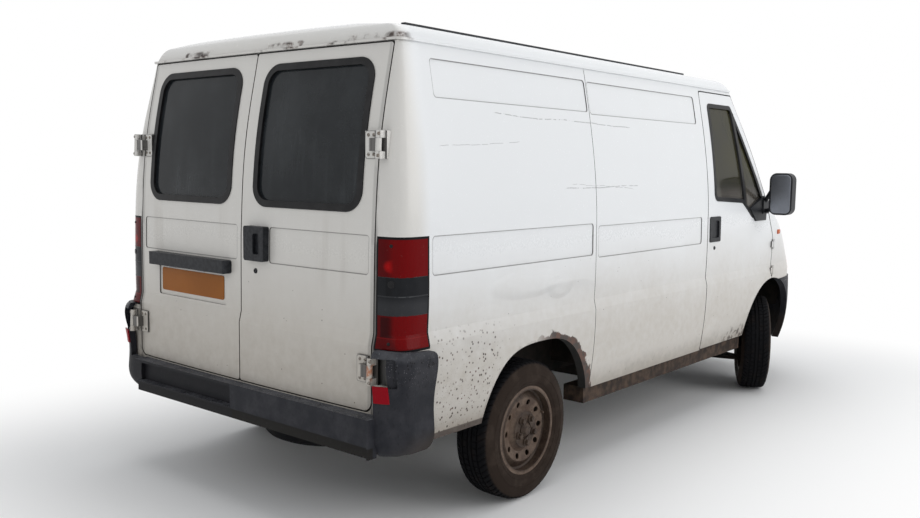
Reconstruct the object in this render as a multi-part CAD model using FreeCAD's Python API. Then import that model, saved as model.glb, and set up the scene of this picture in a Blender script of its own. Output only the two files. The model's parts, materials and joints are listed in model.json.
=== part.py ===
import FreeCAD, Part
import functools
import math
import os

# Short front-drive panel van with two hinged rear doors, a sliding side door on the left and a low roof.
# All sizes are millimetres. X runs forward, Y to the left and Z up. The ground is at Z = 0.

# Overall layout
WHEELBASE = 2850.0
REAR_OVERHANG = 977.0
FRONT_OVERHANG = 828.0
LENGTH = REAR_OVERHANG + WHEELBASE + FRONT_OVERHANG
REAR_AXLE_X = REAR_OVERHANG - LENGTH / 2
FRONT_AXLE_X = REAR_AXLE_X + WHEELBASE
TAIL_X = REAR_AXLE_X - REAR_OVERHANG

# Heights of the body's main lines
SILL_Z = 430.0
FLOOR_Z = 572.0
CREASE_LOW_Z = 838.0
CREASE_TOP_Z = 890.0
COWL_Z = 1240.0
GUTTER_Z = 2040.0
ROOF_RISE = 110.0
CREASE_STEP = 12.0

# Body lines: height, half width, rear skin from the rear axle, shoulder and nose from the front axle,
# reach of the corner curve along the side, and its reach across the front as a share of the half width
REAR_FLAT_HALF = 822.0
REAR_CROWN = 15.0
CORNER_DEPTH = 125.0
CORNER_PULL = 0.80
BUMPER_CORNER_PULL = 0.55
LOWER_LINES = (
    (SILL_Z, 938.0, -905.0, 60.0, 740.0, 500.0, 0.80),
    (SILL_Z + 190.0, 963.0, -905.0, 90.0, 770.0, 540.0, 0.82),
    (CREASE_LOW_Z, 959.0 + CREASE_STEP, -905.0, 100.0, 785.0, 560.0, 0.82),
)
CREASE_LINES = (
    LOWER_LINES[-1],
    (CREASE_TOP_Z, 959.0, -905.0 + CREASE_STEP, 100.0, 772.0, 560.0, 0.83),
)
MIDDLE_LINES = (
    CREASE_LINES[-1],
    (CREASE_TOP_Z + 110.0, 963.0, -892.0, 100.0, 655.0, 400.0, 0.87),
    (COWL_Z - 120.0, 963.0, -891.0, 90.0, 440.0, 280.0, 0.88),
    (COWL_Z, 961.0, -889.0, 10.0, 225.0, 175.0, 0.82),
)
UPPER_LINES = (
    MIDDLE_LINES[-1],
    (COWL_Z + 190.0, 953.0, -880.0, -175.0, 85.0, 130.0, 0.66),
    (COWL_Z + 400.0, 929.0, -860.0, -310.0, -70.0, 120.0, 0.64),
    (GUTTER_Z - 200.0, 896.0, -825.0, -440.0, -222.0, 105.0, 0.61),
    (GUTTER_Z, 857.0, -783.0, -560.0, -372.0, 95.0, 0.58),
)

# Wall build-up
WALL = 45.0
POCKET = 52.0
FRAME_DEPTH = 85.0
SKIN_LAP = 14.0
LAP_INSET = 14.0
BONNET_WALL = 40.0
SHUT_GAP = 6.0
DOOR_GAP = 7.0
PROUD = 5.0
FRAME_LIP = 25.0

# Roof: rise above the gutter, then how far the outline has drawn in at the sides, rear and front
ROOF_WALL = 30.0
ROOF_LINES = (
    (0.0, 0.0, 0.0, 0.0),
    (30.0, 10.0, 10.0, 25.0),
    (60.0, 34.0, 24.0, 75.0),
    (74.0, 95.0, 34.0, 150.0),
    (86.0, 220.0, 50.0, 300.0),
    (98.0, 400.0, 90.0, 520.0),
    (ROOF_RISE, 620.0, 180.0, 760.0),
)
GUTTER_WIDTH = 10.0
GUTTER_HEIGHT = 10.0
GUTTER_ROOT = 8.0
RAIL_Y = 735.0
RAIL_BACK = -640.0
RAIL_FRONT = -985.0
RAIL_WIDTH = 26.0
RAIL_HEIGHT = 12.0
RAIL_Z = 2119.0
RAIL_FOOT = 60.0
RAIL_FEET = 4

# Panel joints along the side: rear corner joint top and foot, middle joint, and door pillar joint
CORNER_JOINT_TOP = -658.0
CORNER_JOINT_FOOT = -721.0
CORNER_JOINT_BEND_Z = 1290.0
MIDDLE_JOINT = 540.0
PILLAR_JOINT = -1093.0
GROOVE = 4.0

# Rear arch: points of its curve from the rear axle
REAR_ARCH = ((-342.0, 390.0), (-303.0, 555.0), (-190.0, 693.0), (70.0, 745.0), (300.0, 707.0),
             (440.0, 580.0), (524.0, 390.0))
FRONT_ARCH_X = 52.0
FRONT_ARCH_Z = 373.0
FRONT_ARCH_RADIUS = 420.0

# Rear doors
REAR_DOOR_BOTTOM = 575.0
REAR_DOOR_TOP = 2033.0
REAR_DOOR_GAP = 6.0
REAR_DOOR_RADIUS = 12.0
REAR_DOOR_FOOT_RADIUS = 40.0
REAR_WINDOW_INNER = 78.0
REAR_WINDOW_OUTER = 750.0
REAR_WINDOW_BOTTOM = 1362.0
REAR_WINDOW_TOP = 1982.0
REAR_WINDOW_RADIUS = 92.0
RUBBER_WIDTH = 30.0
RUBBER_DEPTH = 30.0
GLASS_INSET = 8.0
GLASS = 5.0
SWAGE_BOTTOM = 1120.0
SWAGE_TOP = 1275.0
SWAGE_MARGIN = 30.0
SWAGE_RADIUS = 12.0
SWAGE_DEPTH = 3.0
HANDLE_INNER = 56.0
HANDLE_OUTER = 193.0
HANDLE_BOTTOM = 1125.0
HANDLE_TOP = 1277.0
HANDLE_PROUD = 16.0
LAMP_BAR_INNER = 70.0
LAMP_BAR_OUTER = 696.0
LAMP_BAR_BOTTOM = 1050.0
LAMP_BAR_TOP = 1111.0
LAMP_BAR_PROUD = 25.0
LAMP_BAR_ROUND = 20.0
PLATE_CENTRE_Y = 389.0
PLATE_CENTRE_Z = 978.0
PLATE_WIDTH = 512.0
PLATE_HEIGHT = 111.0
PLATE = 3.0
PLATE_POCKET = 6.0
PLATE_MARGIN = 22.0

# Strap hinges of the rear doors
HINGE_Y = 850.0
HINGE_PROUD = 35.0
UPPER_HINGE_Z = 1630.0
UPPER_HINGE_SKIN = -861.0
LOWER_HINGE_Z = 747.0
LOWER_HINGE_SKIN = -905.0
HINGE_PIN = 8.0
HINGE_BARREL = 12.0
HINGE_HEIGHT = 108.0
HINGE_ARM = 50.0
HINGE_GAP = 1.0
HINGE_LEAF = 6.0
HINGE_LEAF_INNER = 753.0
HINGE_LEAF_OUTER = 817.0
HINGE_PILLAR_INNER = 838.0
HINGE_PILLAR_OUTER = 872.0
HINGE_EAR_OUTER = 863.0
HINGE_RUNNING = 0.3

# Rear lamps
LAMP_INNER = 836.0
LAMP_BOTTOM = 824.0
LAMP_TOP = 1275.0
LAMP_DEPTH = 60.0

# Rear bumper: corner body lines, and the step between the corners
BUMPER_WALL = 24.0
BUMPER_CORNER_EDGE = 870.0
BUMPER_CORNER_FRONT = -712.0
BUMPER_SIDE_TOP = 818.0
BUMPER_SIDE_RADIUS = 24.0
CORNER_LENGTH = 1000.0
BUMPER_TOP = 834.0
BUMPER_BOTTOM = 405.0
BUMPER_LINES = (
    (BUMPER_BOTTOM, 950.0, -915.0, 0.0, 400.0, 200.0, 0.8),
    (BUMPER_BOTTOM + 65.0, 990.0, -950.0, 0.0, 400.0, 200.0, 0.8),
    (BUMPER_TOP - 134.0, 999.0, -956.0, 0.0, 400.0, 200.0, 0.8),
    (BUMPER_TOP - 14.0, 997.0, -953.0, 0.0, 400.0, 200.0, 0.8),
    (BUMPER_TOP, 985.0, -943.0, 0.0, 400.0, 200.0, 0.8),
)
STEP_TOP = 565.0
STEP_THICKNESS = 12.0
FASCIA_BOTTOM = 456.0
FASCIA = 14.0
FASCIA_SET_IN = 45.0
LOWER_BAR_TOP = 448.0
LOWER_BAR_DEPTH = 35.0
LOWER_BAR_SET_IN = 14.0
BUMPER_OVERLAP = 10.0
HINGE_POCKET_MARGIN = 54.0
HINGE_POCKET_INNER = 925.0
HINGE_POCKET_OUTER = 966.0
HINGE_POCKET_DEPTH = 10.0
STEP_LEFT = 775.0
STEP_LEFT_LAP = 15.0
REFLECTOR_INNER = 878.0
REFLECTOR_OUTER = 935.0
REFLECTOR_BOTTOM = 628.0
REFLECTOR_TOP = 697.0
REFLECTOR = 5.0

# Sliding side door on the left
SLIDE_DOOR_BOTTOM = 470.0
SLIDE_DOOR_TOP = 1996.0
SLIDE_DOOR_RADIUS = 60.0
SLIDE_RAIL_Z = 1125.0
SLIDE_RAIL_HEIGHT = 30.0
SLIDE_RAIL_PROUD = 12.0

# Front doors, from the front axle
FRONT_DOOR_REAR = -1012.0
FRONT_DOOR_BOTTOM = 436.0
FRONT_DOOR_TOP = 2014.0
FRONT_DOOR_HEAD = -545.0
FRONT_DOOR_PILLAR_X = -58.0
FRONT_DOOR_PILLAR_Z = 1262.0
FRONT_DOOR_NOSE = 36.0
FRONT_DOOR_NOSE_Z = 1090.0
FRONT_DOOR_RADIUS = 16.0
FRONT_DOOR_BEND = 120.0
DOOR_WINDOW = ((-924.0, 1352.0), (-924.0, 1950.0), (-582.0, 1950.0), (-345.0, 1610.0), (-92.0, 1262.0),
               (-120.0, 1208.0), (-330.0, 1226.0), (-500.0, 1330.0))
DOOR_WINDOW_RADII = (50.0, 35.0, 30.0, 200.0, 24.0, 24.0, 60.0, 60.0)
DOOR_HANDLE_REAR = -988.0
DOOR_HANDLE_FRONT = -838.0
DOOR_HANDLE_BOTTOM = 1100.0
DOOR_HANDLE_TOP = 1256.0
DOOR_HANDLE_POCKET = 8.0

# Windscreen and bonnet
SCREEN_BOTTOM = 1264.0
SCREEN_TOP = 1985.0
SCREEN_FOOT_HALF = 835.0
SCREEN_HEAD_HALF = 735.0
SCREEN_RADIUS = 60.0
SCREEN_REAR = -900.0
BONNET_REAR = 215.0
BONNET_FRONT_Z = 925.0
BONNET_REAR_HALF = 780.0
BONNET_FRONT_HALF = 600.0
BONNET_SIDE_GAP = 8.0
BONNET_SWING = 12.0

# Small hinges of the front doors and the bonnet
SMALL_PIN_RUNNING = 0.05
SMALL_HINGE_STRAP = 30.0
SMALL_HINGE_GAP = 1.0
DOOR_AXIS_Y = 974.0
DOOR_HINGE_HEIGHTS = (845.0, 1030.0)
DOOR_HINGE_BARREL = 9.0
DOOR_HINGE_PIN = 5.0
DOOR_HINGE_HALF = 32.0
DOOR_HINGE_MIDDLE = 20.0
BONNET_AXIS_Z = 1232.0
BONNET_HINGE_Y = 600.0
BONNET_HINGE_BARREL = 6.0
BONNET_HINGE_PIN = 3.0
BONNET_HINGE_HALF = 25.0
BONNET_HINGE_MIDDLE = 10.0

# Nose: lamps, grille and front bumper
FACE_BOTTOM = 785.0
FACE_TOP = 915.0
HEADLAMP_INNER = 430.0
HEADLAMP_BACK = 430.0
HEADLAMP_DEPTH = 90.0
GRILLE_DEPTH = 24.0
GRILLE_BARS = 5
GRILLE_BAR = 9.0
FRONT_BUMPER_TOP = 776.0
FRONT_BUMPER_WALL = 45.0
FRONT_BUMPER_BOTTOM = 300.0
FRONT_BUMPER_LINES = (
    (FRONT_BUMPER_BOTTOM, 935.0, -905.0, 100.0, FRONT_OVERHANG - 45.0, 520.0, 0.80),
    (FRONT_BUMPER_BOTTOM + 120.0, 964.0, -905.0, 100.0, FRONT_OVERHANG - 6.0, 540.0, 0.82),
    (FRONT_BUMPER_TOP - 136.0, 980.0, -905.0, 110.0, FRONT_OVERHANG, 550.0, 0.82),
    (FRONT_BUMPER_TOP, 976.0, -905.0, 110.0, FRONT_OVERHANG - 14.0, 550.0, 0.82),
)
INTAKE_HALF = 400.0
INTAKE_BOTTOM = 350.0
INTAKE_TOP = 450.0
INTAKE_RADIUS = 20.0


# Wheels, knuckles and axles
TRACK_HALF = 860.0
TYRE_RADIUS = 327.0
TYRE_HALF = 97.5
TREAD_HALF = 82.0
SHOULDER_DROP = 12.0
SIDEWALL_STEPS = 4
SIDEWALL_FOOT = 0.8
SIDEWALL_HEAD = 0.6
BEAD_RADIUS = 196.0
BEAD_HALF = 78.0
FLANGE_RADIUS = 208.0
WELL_TOP_HALF = 47.5
WELL_HALF = 38.0
RIM_WALL = 6.0
RIM_DROP_RADIUS = 172.0
DISC_OUT = 58.0
DISC_DISH = 22.0
HUB_FACE = 68.0
BOSS_RADIUS = 82.0
HUB_RADIUS = 36.0
VENT_COUNT = 10
VENT_CIRCLE = 128.0
VENT_RADIUS = 13.5
BOLT_COUNT = 5
BOLT_CIRCLE = 59.0
BOLT_RADIUS = 11.0
SPINDLE_RADIUS = 20.0
SPINDLE_RUNNING = 0.05
BRAKE_RADIUS = 130.0
BRAKE_OUT = 22.0
BRAKE_WIDTH = 16.0
KINGPIN_INBOARD = 85.0
STEER_REST = 28.0
CARRIER_RADIUS = 48.0
LUG_HALF = 20.0
LOWER_LUG_Z = 216.0
UPPER_LUG_Z = 452.0
BALL_PIN = 10.0
PIN_RUNNING = 0.3
ARM_THICKNESS = 24.0
ARM_TIP_HALF = 30.0
STRUT_FOOT_Y = 715.0
STRUT_HEAD_Y = 682.0
STRUT_RADIUS = 26.0
SPRING_RADIUS = 62.0
SPRING_LOW_Z = 668.0
SPRING_TURNS_Z = 812.0
AXLE_TUBE_RADIUS = 38.0
LEAF_Y = 600.0
LEAF_WIDTH = 60.0
LEAF_THICKNESS = 14.0
LEAF_REACH = 560.0
LEAF_EYE_Z = 408.0
LEAF_EYE = 18.0
DAMPER_RADIUS = 24.0

# Underbody, floors and wheel boxes
FLOOR_THICKNESS = 27.0
RAIL_BEAM_INNER = 560.0
RAIL_BEAM_OUTER = 640.0
RAIL_BEAM_DEPTH = 90.0
LEG_INNER = 430.0
LEG_OUTER = 500.0
REAR_BOX_BACK = -370.0
REAR_BOX_AHEAD = 545.0
REAR_BOX_TOP = 810.0
REAR_BOX_INNER = 700.0
BOX_WALL = 20.0
FRONT_BOX_BACK = -400.0
FRONT_BOX_AHEAD = 480.0
FRONT_BOX_TOP = 855.0
FRONT_BOX_INNER = 395.0
SILL_HEIGHT = 82.0
SILL_SET_IN = 18.0
SILL_WIDTH = 120.0
PARTITION_X = -1080.0
PARTITION = 25.0
FIREWALL_X = 48.0
FIREWALL = 18.0
LEG_REACH = 650.0
TOW_EYE_X = -775.0
TOW_EYE_RADIUS = 15.0
TOW_EYE_PLATE = 16.0
TOW_EYE_DROP = 70.0
TOW_BOLT_X = -680.0
TOW_BOLT_SPACING = 80.0
TOW_BOLT_RADIUS = 6.5
TOW_BOLT_DEPTH = 40.0
JACK_PAD = 12.0
JACK_PAD_HALF = 35.0
FLOOR_RIBS = 9
FLOOR_RIB = 5.0
FLOOR_RIB_HALF = 31.0
FLOOR_RIB_BACK = 780.0

# Cab fittings and what hangs below
DASH_LINES = ((-215.0, 880.0), (-265.0, 1030.0), (-190.0, 1140.0), (-40.0, 1165.0), (FIREWALL_X, 1150.0),
              (FIREWALL_X, 880.0))
DASH_HALF = 800.0
DASH_RADIUS = 20.0
SEAT_Y = -420.0
SEAT_WIDTH = 500.0
BENCH_Y = 330.0
BENCH_WIDTH = 860.0
SEAT_BACK_X = -1035.0
SEAT_FRONT_X = -520.0
SEAT_BASE_TOP = 850.0
CUSHION = 130.0
BACKREST = 130.0
BACKREST_HEIGHT = 620.0
BACKREST_RAKE = 90.0
SEAT_RADIUS = 35.0
STEERING_X = -430.0
STEERING_Z = 1160.0
STEERING_RADIUS = 195.0
STEERING_GRIP = 15.0
STEERING_RAKE = 40.0
STEERING_COLUMN = 330.0
STEERING_COLUMN_RADIUS = 22.5
STEERING_HUB = 45.0
STEERING_SPOKES = (0.0, 180.0, 270.0)
STEERING_SPOKE_RADIUS = 10.5
ENGINE_BACK = 130.0
ENGINE_AHEAD = 565.0
ENGINE_RIGHT = -360.0
ENGINE_LEFT = 180.0
ENGINE_LOW = 270.0
ENGINE_TOP = 900.0
TANK_BACK = -1750.0
TANK_AHEAD = -900.0
TANK_RADIUS = 40.0
TANK_LOW = 330.0
EXHAUST_RADIUS = 25.0
SILENCER_RADIUS = 60.0
SILENCER_LENGTH = 600.0
EXHAUST_Z = 412.0
SPARE_X = -480.0
SPARE_Y = -150.0
SPARE_Z = 377.0

# Door mirrors, from the front axle
MIRROR_X = -260.0
MIRROR_DEPTH = 70.0
MIRROR_INNER = 1040.0
MIRROR_OUTER = 1192.0
MIRROR_BOTTOM = 1250.0
MIRROR_TOP = 1526.0
MIRROR_ARM = 14.0
MIRROR_FOOT_X = -150.0
MIRROR_FOOT_Y = 968.0
MIRROR_FOOT_Z = 1250.0

# Recessed fields pressed into the side panels: from the rear axle, then heights
RECESSES = (
    (-631.0, 525.0, 1825.0, 1980.0),
    (550.0, 1745.0, 1815.0, 1975.0),
    (-700.0, 510.0, 1115.0, 1272.0),
    (562.0, 1750.0, 1100.0, 1258.0),
)
RECESS_RADIUS = 20.0


# Working values
TINY = 0.001
FAR = 4000.0

once = functools.lru_cache(maxsize=None)


def vec(x, y, z):
    """Vector in millimetres."""
    return FreeCAD.Vector(x, y, z)


def box(x0, x1, y0, y1, z0, z1):
    """Block between two corners."""
    return Part.makeBox(x1 - x0, y1 - y0, z1 - z0, vec(x0, y0, z0))


def section(line, inset, corner_pull=CORNER_PULL, flat=REAR_FLAT_HALF):
    """Closed plan outline of the body at one height, moved inwards by inset."""
    z, half, tail, shoulder, nose, reach, share = line
    half = half - inset
    tail = REAR_AXLE_X + tail + inset
    shoulder = FRONT_AXLE_X + shoulder
    nose = FRONT_AXLE_X + nose - inset
    flat = flat - inset
    across = share * half
    bend = (half - flat) * corner_pull
    pull = CORNER_DEPTH * corner_pull
    corner_x = tail + CORNER_DEPTH

    def curve(*places):
        bezier = Part.BezierCurve()
        bezier.setPoles([vec(x, y, z) for x, y in places])
        return bezier.toShape()

    rear_arc = Part.Arc(vec(tail, flat, z), vec(tail - REAR_CROWN, 0, z), vec(tail, -flat, z)).toShape()
    right_corner = curve((tail, -flat), (tail, -flat - bend), (corner_x - pull, -half), (corner_x, -half))
    right_side = Part.makeLine(vec(corner_x, -half, z), vec(shoulder, -half, z))
    right_nose = curve((shoulder, -half), (shoulder + reach, -half), (nose, -across), (nose, 0))
    left_nose = curve((nose, 0), (nose, across), (shoulder + reach, half), (shoulder, half))
    left_side = Part.makeLine(vec(shoulder, half, z), vec(corner_x, half, z))
    left_corner = curve((corner_x, half), (corner_x - pull, half), (tail, flat + bend), (tail, flat))
    return Part.Wire([rear_arc, right_corner, right_side, right_nose, left_nose, left_side, left_corner])


def loft(lines, inset, corner_pull=CORNER_PULL):
    """Closed solid through plan outlines at rising heights."""
    wires = [section(line, inset, corner_pull) for line in lines]
    return Part.makeLoft(wires, True, False, False)


@once
def body(inset):
    """Closed solid inside the body lines, from the sill to the gutter."""
    zones = [loft(lines, inset) for lines in (LOWER_LINES, CREASE_LINES, MIDDLE_LINES, UPPER_LINES)]
    return zones[0].fuse(zones[1:])


@once
def layer(outer, inner):
    """Skin between two insets of the body lines."""
    return body(outer).cut(body(inner))


def place(axis, a, b, depth):
    """Point at depth along an axis, from its two coordinates across that axis."""
    if axis == "x":
        return vec(depth, a, b)
    if axis == "y":
        return vec(a, depth, b)
    return vec(a, b, depth)


def rounded_wire(corners, radii):
    """Closed wire through the corners, each one rounded by its own radius."""
    count = len(corners)
    turns = []
    befores = corners[-1:] + corners[:-1]
    afters = corners[1:] + corners[:1]
    for corner, before, after, radius in zip(corners, befores, afters, radii):
        before = (before - corner).normalize()
        after = (after - corner).normalize()
        half = before.getAngle(after) / 2
        reach = radius / math.tan(half)
        bisector = (before + after).normalize()
        middle = corner + bisector * (radius / math.sin(half) - radius)
        turns.append((corner + before * reach, middle, corner + after * reach))
    edges = []
    for i in range(count):
        first, middle, last = turns[i]
        following = turns[(i + 1) % count][0]
        if first.distanceToPoint(last) > TINY:
            edges.append(Part.Arc(first, middle, last).toShape())
        if last.distanceToPoint(following) > TINY:
            edges.append(Part.makeLine(last, following))
    return Part.Wire(edges)


def prism(axis, points, radius, low, high):
    """Straight prism along an axis over an outline with rounded corners."""
    corners = [place(axis, a, b, low) for a, b in points]
    radii = list(radius) if isinstance(radius, tuple) else [radius] * len(corners)
    face = Part.Face(rounded_wire(corners, radii))
    return face.extrude(place(axis, 0, 0, high) - place(axis, 0, 0, low))


def rectangle(axis, a0, a1, b0, b1, radius, low, high):
    """Prism along an axis over a rounded rectangle."""
    return prism(axis, ((a0, b0), (a1, b0), (a1, b1), (a0, b1)), radius, low, high)


def rod(start, end, radius):
    """Round bar between two points."""
    return Part.makeCylinder(radius, start.distanceToPoint(end), start, end - start)


def mirrored(shape):
    """The same shape on the other side of the van."""
    return shape.mirror(vec(0, 0, 0), vec(0, 1, 0))


def both(shape):
    """A right-hand piece with its mirror image."""
    return Part.makeCompound([shape, mirrored(shape)])


def rear(x):
    """Place along the van, from the rear axle."""
    return REAR_AXLE_X + x


def front(x):
    """Place along the van, from the front axle."""
    return FRONT_AXLE_X + x


@once
def corner_joint():
    """Everything behind the joint between rear corner and side panel."""
    points = ((rear(-FAR), SILL_Z - PROUD), (rear(-FAR), GUTTER_Z + PROUD),
              (rear(CORNER_JOINT_TOP), GUTTER_Z + PROUD),
              (rear(CORNER_JOINT_FOOT), CORNER_JOINT_BEND_Z), (rear(CORNER_JOINT_FOOT), SILL_Z - PROUD))
    return prism("y", points, 0, -FAR, FAR)


@once
def rear_arch():
    """Rear wheel opening, as a cut right through the van."""
    points = [vec(rear(x), -FAR, z) for x, z in REAR_ARCH]
    curve = Part.BSplineCurve()
    curve.interpolate(points)
    foot = Part.makeLine(points[-1], points[0])
    return Part.Face(Part.Wire([curve.toShape(), foot])).extrude(vec(0, 2 * FAR, 0))


@once
def front_arch():
    """Front wheel opening, as a cut right through the van."""
    start = vec(front(FRONT_ARCH_X), -FAR, FRONT_ARCH_Z)
    return Part.makeCylinder(FRONT_ARCH_RADIUS, 2 * FAR, start, vec(0, 1, 0))


# Rear doors and the frame around them

def rear_door_outline(grow):
    """Cut along the van over the right rear door, with its edges moved outwards."""
    inner = -REAR_DOOR_GAP / 2 + grow
    outer = -REAR_FLAT_HALF - grow
    low = REAR_DOOR_BOTTOM - grow
    high = REAR_DOOR_TOP + grow
    radii = (REAR_DOOR_FOOT_RADIUS, REAR_DOOR_RADIUS, REAR_DOOR_RADIUS, REAR_DOOR_RADIUS)
    return prism("x", ((outer, low), (inner, low), (inner, high), (outer, high)), radii, rear(-FAR),
                 REAR_AXLE_X)


def rear_window(inset):
    """Cut along the van over the right rear window."""
    return rectangle("x", -REAR_WINDOW_OUTER + inset, -REAR_WINDOW_INNER - inset, REAR_WINDOW_BOTTOM + inset,
                     REAR_WINDOW_TOP - inset, REAR_WINDOW_RADIUS - inset, rear(-FAR), REAR_AXLE_X)


@once
def rear_door_blank():
    """Right rear door: outer skin lapping a set-in pan, window cut and lower swage pressed in."""
    skin = layer(0.0, SKIN_LAP).common(rear_door_outline(0.0))
    pan = layer(SKIN_LAP, WALL).common(rear_door_outline(-LAP_INSET))
    curved = box(rear(-FAR), REAR_AXLE_X, -FAR, WALL - REAR_FLAT_HALF, 0, FAR)
    return skin.fuse(pan.cut(curved)).cut(rear_window(0.0))


def swage(inner, outer):
    """Shallow pressing across a rear door between two widths."""
    cut = rectangle("x", inner, outer, SWAGE_BOTTOM, SWAGE_TOP, SWAGE_RADIUS, rear(-FAR), REAR_AXLE_X)
    return layer(-PROUD, SWAGE_DEPTH).common(cut)


def on_rear_skin(shape):
    """The part of a shape that stands outside the rear skin."""
    return shape.cut(body(0.0))


def rear_door_right():
    door = rear_door_blank()
    return door.cut(swage(-REAR_FLAT_HALF + SWAGE_MARGIN, -HANDLE_OUTER - GROOVE))


def rear_door_left():
    door = mirrored(rear_door_blank())
    door = door.cut(swage(SWAGE_MARGIN, REAR_FLAT_HALF - SWAGE_MARGIN))
    pocket = layer(-PROUD, PLATE_POCKET).common(plate_cut(PLATE_MARGIN))
    return door.cut(pocket)


def plate_cut(grow):
    """Cut along the van over the number plate."""
    half_width = PLATE_WIDTH / 2 + grow
    half_height = PLATE_HEIGHT / 2 + grow
    return rectangle("x", PLATE_CENTRE_Y - half_width, PLATE_CENTRE_Y + half_width,
                     PLATE_CENTRE_Z - half_height, PLATE_CENTRE_Z + half_height,
                     PLATE_MARGIN / 2, rear(-FAR), REAR_AXLE_X)


@once
def rear_plate():
    return layer(PLATE_POCKET - PLATE, PLATE_POCKET).common(plate_cut(0.0))


def lamp_bar():
    skin = rear(LOWER_HINGE_SKIN)
    back = skin - REAR_CROWN - LAMP_BAR_PROUD
    bar = rectangle("x", LAMP_BAR_INNER, LAMP_BAR_OUTER, LAMP_BAR_BOTTOM, LAMP_BAR_TOP, HINGE_BARREL, back,
                    skin + WALL)
    plan = rectangle("z", back, skin + FAR, LAMP_BAR_INNER, LAMP_BAR_OUTER, LAMP_BAR_ROUND,
                     LAMP_BAR_BOTTOM, LAMP_BAR_TOP)
    return on_rear_skin(bar.common(plan))


def rear_handle():
    skin = rear(LOWER_HINGE_SKIN)
    block = rectangle("x", -HANDLE_OUTER, -HANDLE_INNER, HANDLE_BOTTOM, HANDLE_TOP, HINGE_BARREL,
                      skin - REAR_CROWN - HANDLE_PROUD, skin + WALL)
    middle = (HANDLE_INNER + HANDLE_OUTER) / 2
    grip = rectangle("x", -HANDLE_OUTER + SWAGE_MARGIN, -middle + GROOVE, HANDLE_BOTTOM + SWAGE_MARGIN,
                     HANDLE_TOP - SWAGE_MARGIN, HINGE_BARREL, skin - REAR_CROWN - HANDLE_PROUD - PROUD,
                     skin - REAR_CROWN)
    return on_rear_skin(block).cut(grip)


@once
def rear_rubber():
    ring = rear_window(0.0).cut(rear_window(RUBBER_WIDTH))
    return layer(-PROUD, RUBBER_DEPTH).common(ring)


@once
def rear_glass():
    return layer(GLASS_INSET, GLASS_INSET + GLASS).common(rear_window(RUBBER_WIDTH))


@once
def rear_frame():
    frame = layer(0.0, FRAME_DEPTH).common(corner_joint())
    pocket = rear_door_outline(REAR_DOOR_GAP)
    pocket = pocket.fuse(mirrored(pocket))
    frame = frame.cut(layer(-PROUD, POCKET).common(pocket))
    inner = REAR_FLAT_HALF - FRAME_LIP
    opening = box(rear(-FAR), REAR_AXLE_X, -inner, inner, FLOOR_Z, REAR_DOOR_TOP - FRAME_LIP)
    frame = frame.cut(opening)
    lamp = lamp_region()
    return frame.cut(layer(-PROUD, LAMP_DEPTH).common(lamp.fuse(mirrored(lamp))))


@once
def lamp_region():
    """Space of the right rear lamp, around the corner of the body."""
    return box(rear(-FAR), rear(CORNER_JOINT_FOOT), -FAR, -LAMP_INNER, LAMP_BOTTOM, LAMP_TOP)


def tail_lamps():
    lamp = layer(0.0, LAMP_DEPTH).common(lamp_region())
    return Part.makeCompound([lamp, mirrored(lamp)])


# Strap hinges

def hinge_pin(z):
    """Point of the right door's hinge line at a height."""
    share = (z - LOWER_HINGE_Z) / (UPPER_HINGE_Z - LOWER_HINGE_Z)
    skin = LOWER_HINGE_SKIN + (UPPER_HINGE_SKIN - LOWER_HINGE_SKIN) * share
    return vec(rear(skin) - HINGE_PROUD, -HINGE_Y, z)


def barrel(low, high, radius):
    """Round stretch along the right door's hinge line."""
    return rod(hinge_pin(low), hinge_pin(high), radius)


def hinge_span(inner, outer, low, high, proud):
    """Block standing proud of the rear skin between two widths and heights."""
    skin = hinge_pin((low + high) / 2).x + HINGE_PROUD
    return on_rear_skin(box(skin - proud, skin + WALL, -outer, -inner, low, high))


@once
def door_leaves():
    """Hinge leaves on the right rear door, with their middle knuckles."""
    leaves = []
    for z in (UPPER_HINGE_Z, LOWER_HINGE_Z):
        low = z - HINGE_HEIGHT / 2
        high = z + HINGE_HEIGHT / 2
        plate = hinge_span(HINGE_LEAF_INNER, HINGE_LEAF_OUTER, low, high, HINGE_LEAF + PROUD)
        arm_low = z - HINGE_ARM / 2
        arm_high = z + HINGE_ARM / 2
        pin = hinge_pin(z)
        arm = box(pin.x - HINGE_BARREL / 2, pin.x + HINGE_PROUD + WALL,
                  -HINGE_Y, -HINGE_LEAF_OUTER + FRAME_LIP, arm_low, arm_high)
        slot = box(pin.x + HINGE_PROUD - 2 * HINGE_LEAF - PROUD, pin.x + FAR,
                   -FAR, -HINGE_LEAF_OUTER, 0, FAR)
        arm = on_rear_skin(arm).cut(slot)
        leaf = plate.fuse([arm, barrel(arm_low, arm_high, HINGE_BARREL)])
        leaves.append(leaf.cut(barrel(low - PROUD, high + PROUD, HINGE_PIN + HINGE_RUNNING)))
    return Part.makeCompound(leaves)


@once
def pillar_leaves():
    """Hinge leaves on the rear corners, with outer knuckles and pins."""
    leaves = []
    for z in (UPPER_HINGE_Z, LOWER_HINGE_Z):
        low = z - HINGE_HEIGHT / 2
        high = z + HINGE_HEIGHT / 2
        pieces = [hinge_span(HINGE_PILLAR_INNER, HINGE_PILLAR_OUTER, low, high, HINGE_LEAF + PROUD)]
        reach = HINGE_ARM / 2 + HINGE_GAP
        for ear_low, ear_high in ((low, z - reach), (z + reach, high)):
            pin = hinge_pin((ear_low + ear_high) / 2)
            ear = box(pin.x - HINGE_BARREL / 2, pin.x + HINGE_PROUD + WALL, -HINGE_EAR_OUTER, -HINGE_Y,
                      ear_low, ear_high)
            pieces.append(on_rear_skin(ear))
            pieces.append(barrel(ear_low, ear_high, HINGE_BARREL))
        pieces.append(barrel(low, high, HINGE_PIN))
        leaf = pieces[0].fuse(pieces[1:])
        leaves.append(leaf)
        leaves.append(mirrored(leaf))
    return Part.makeCompound(leaves)


# Rear bumper

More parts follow.
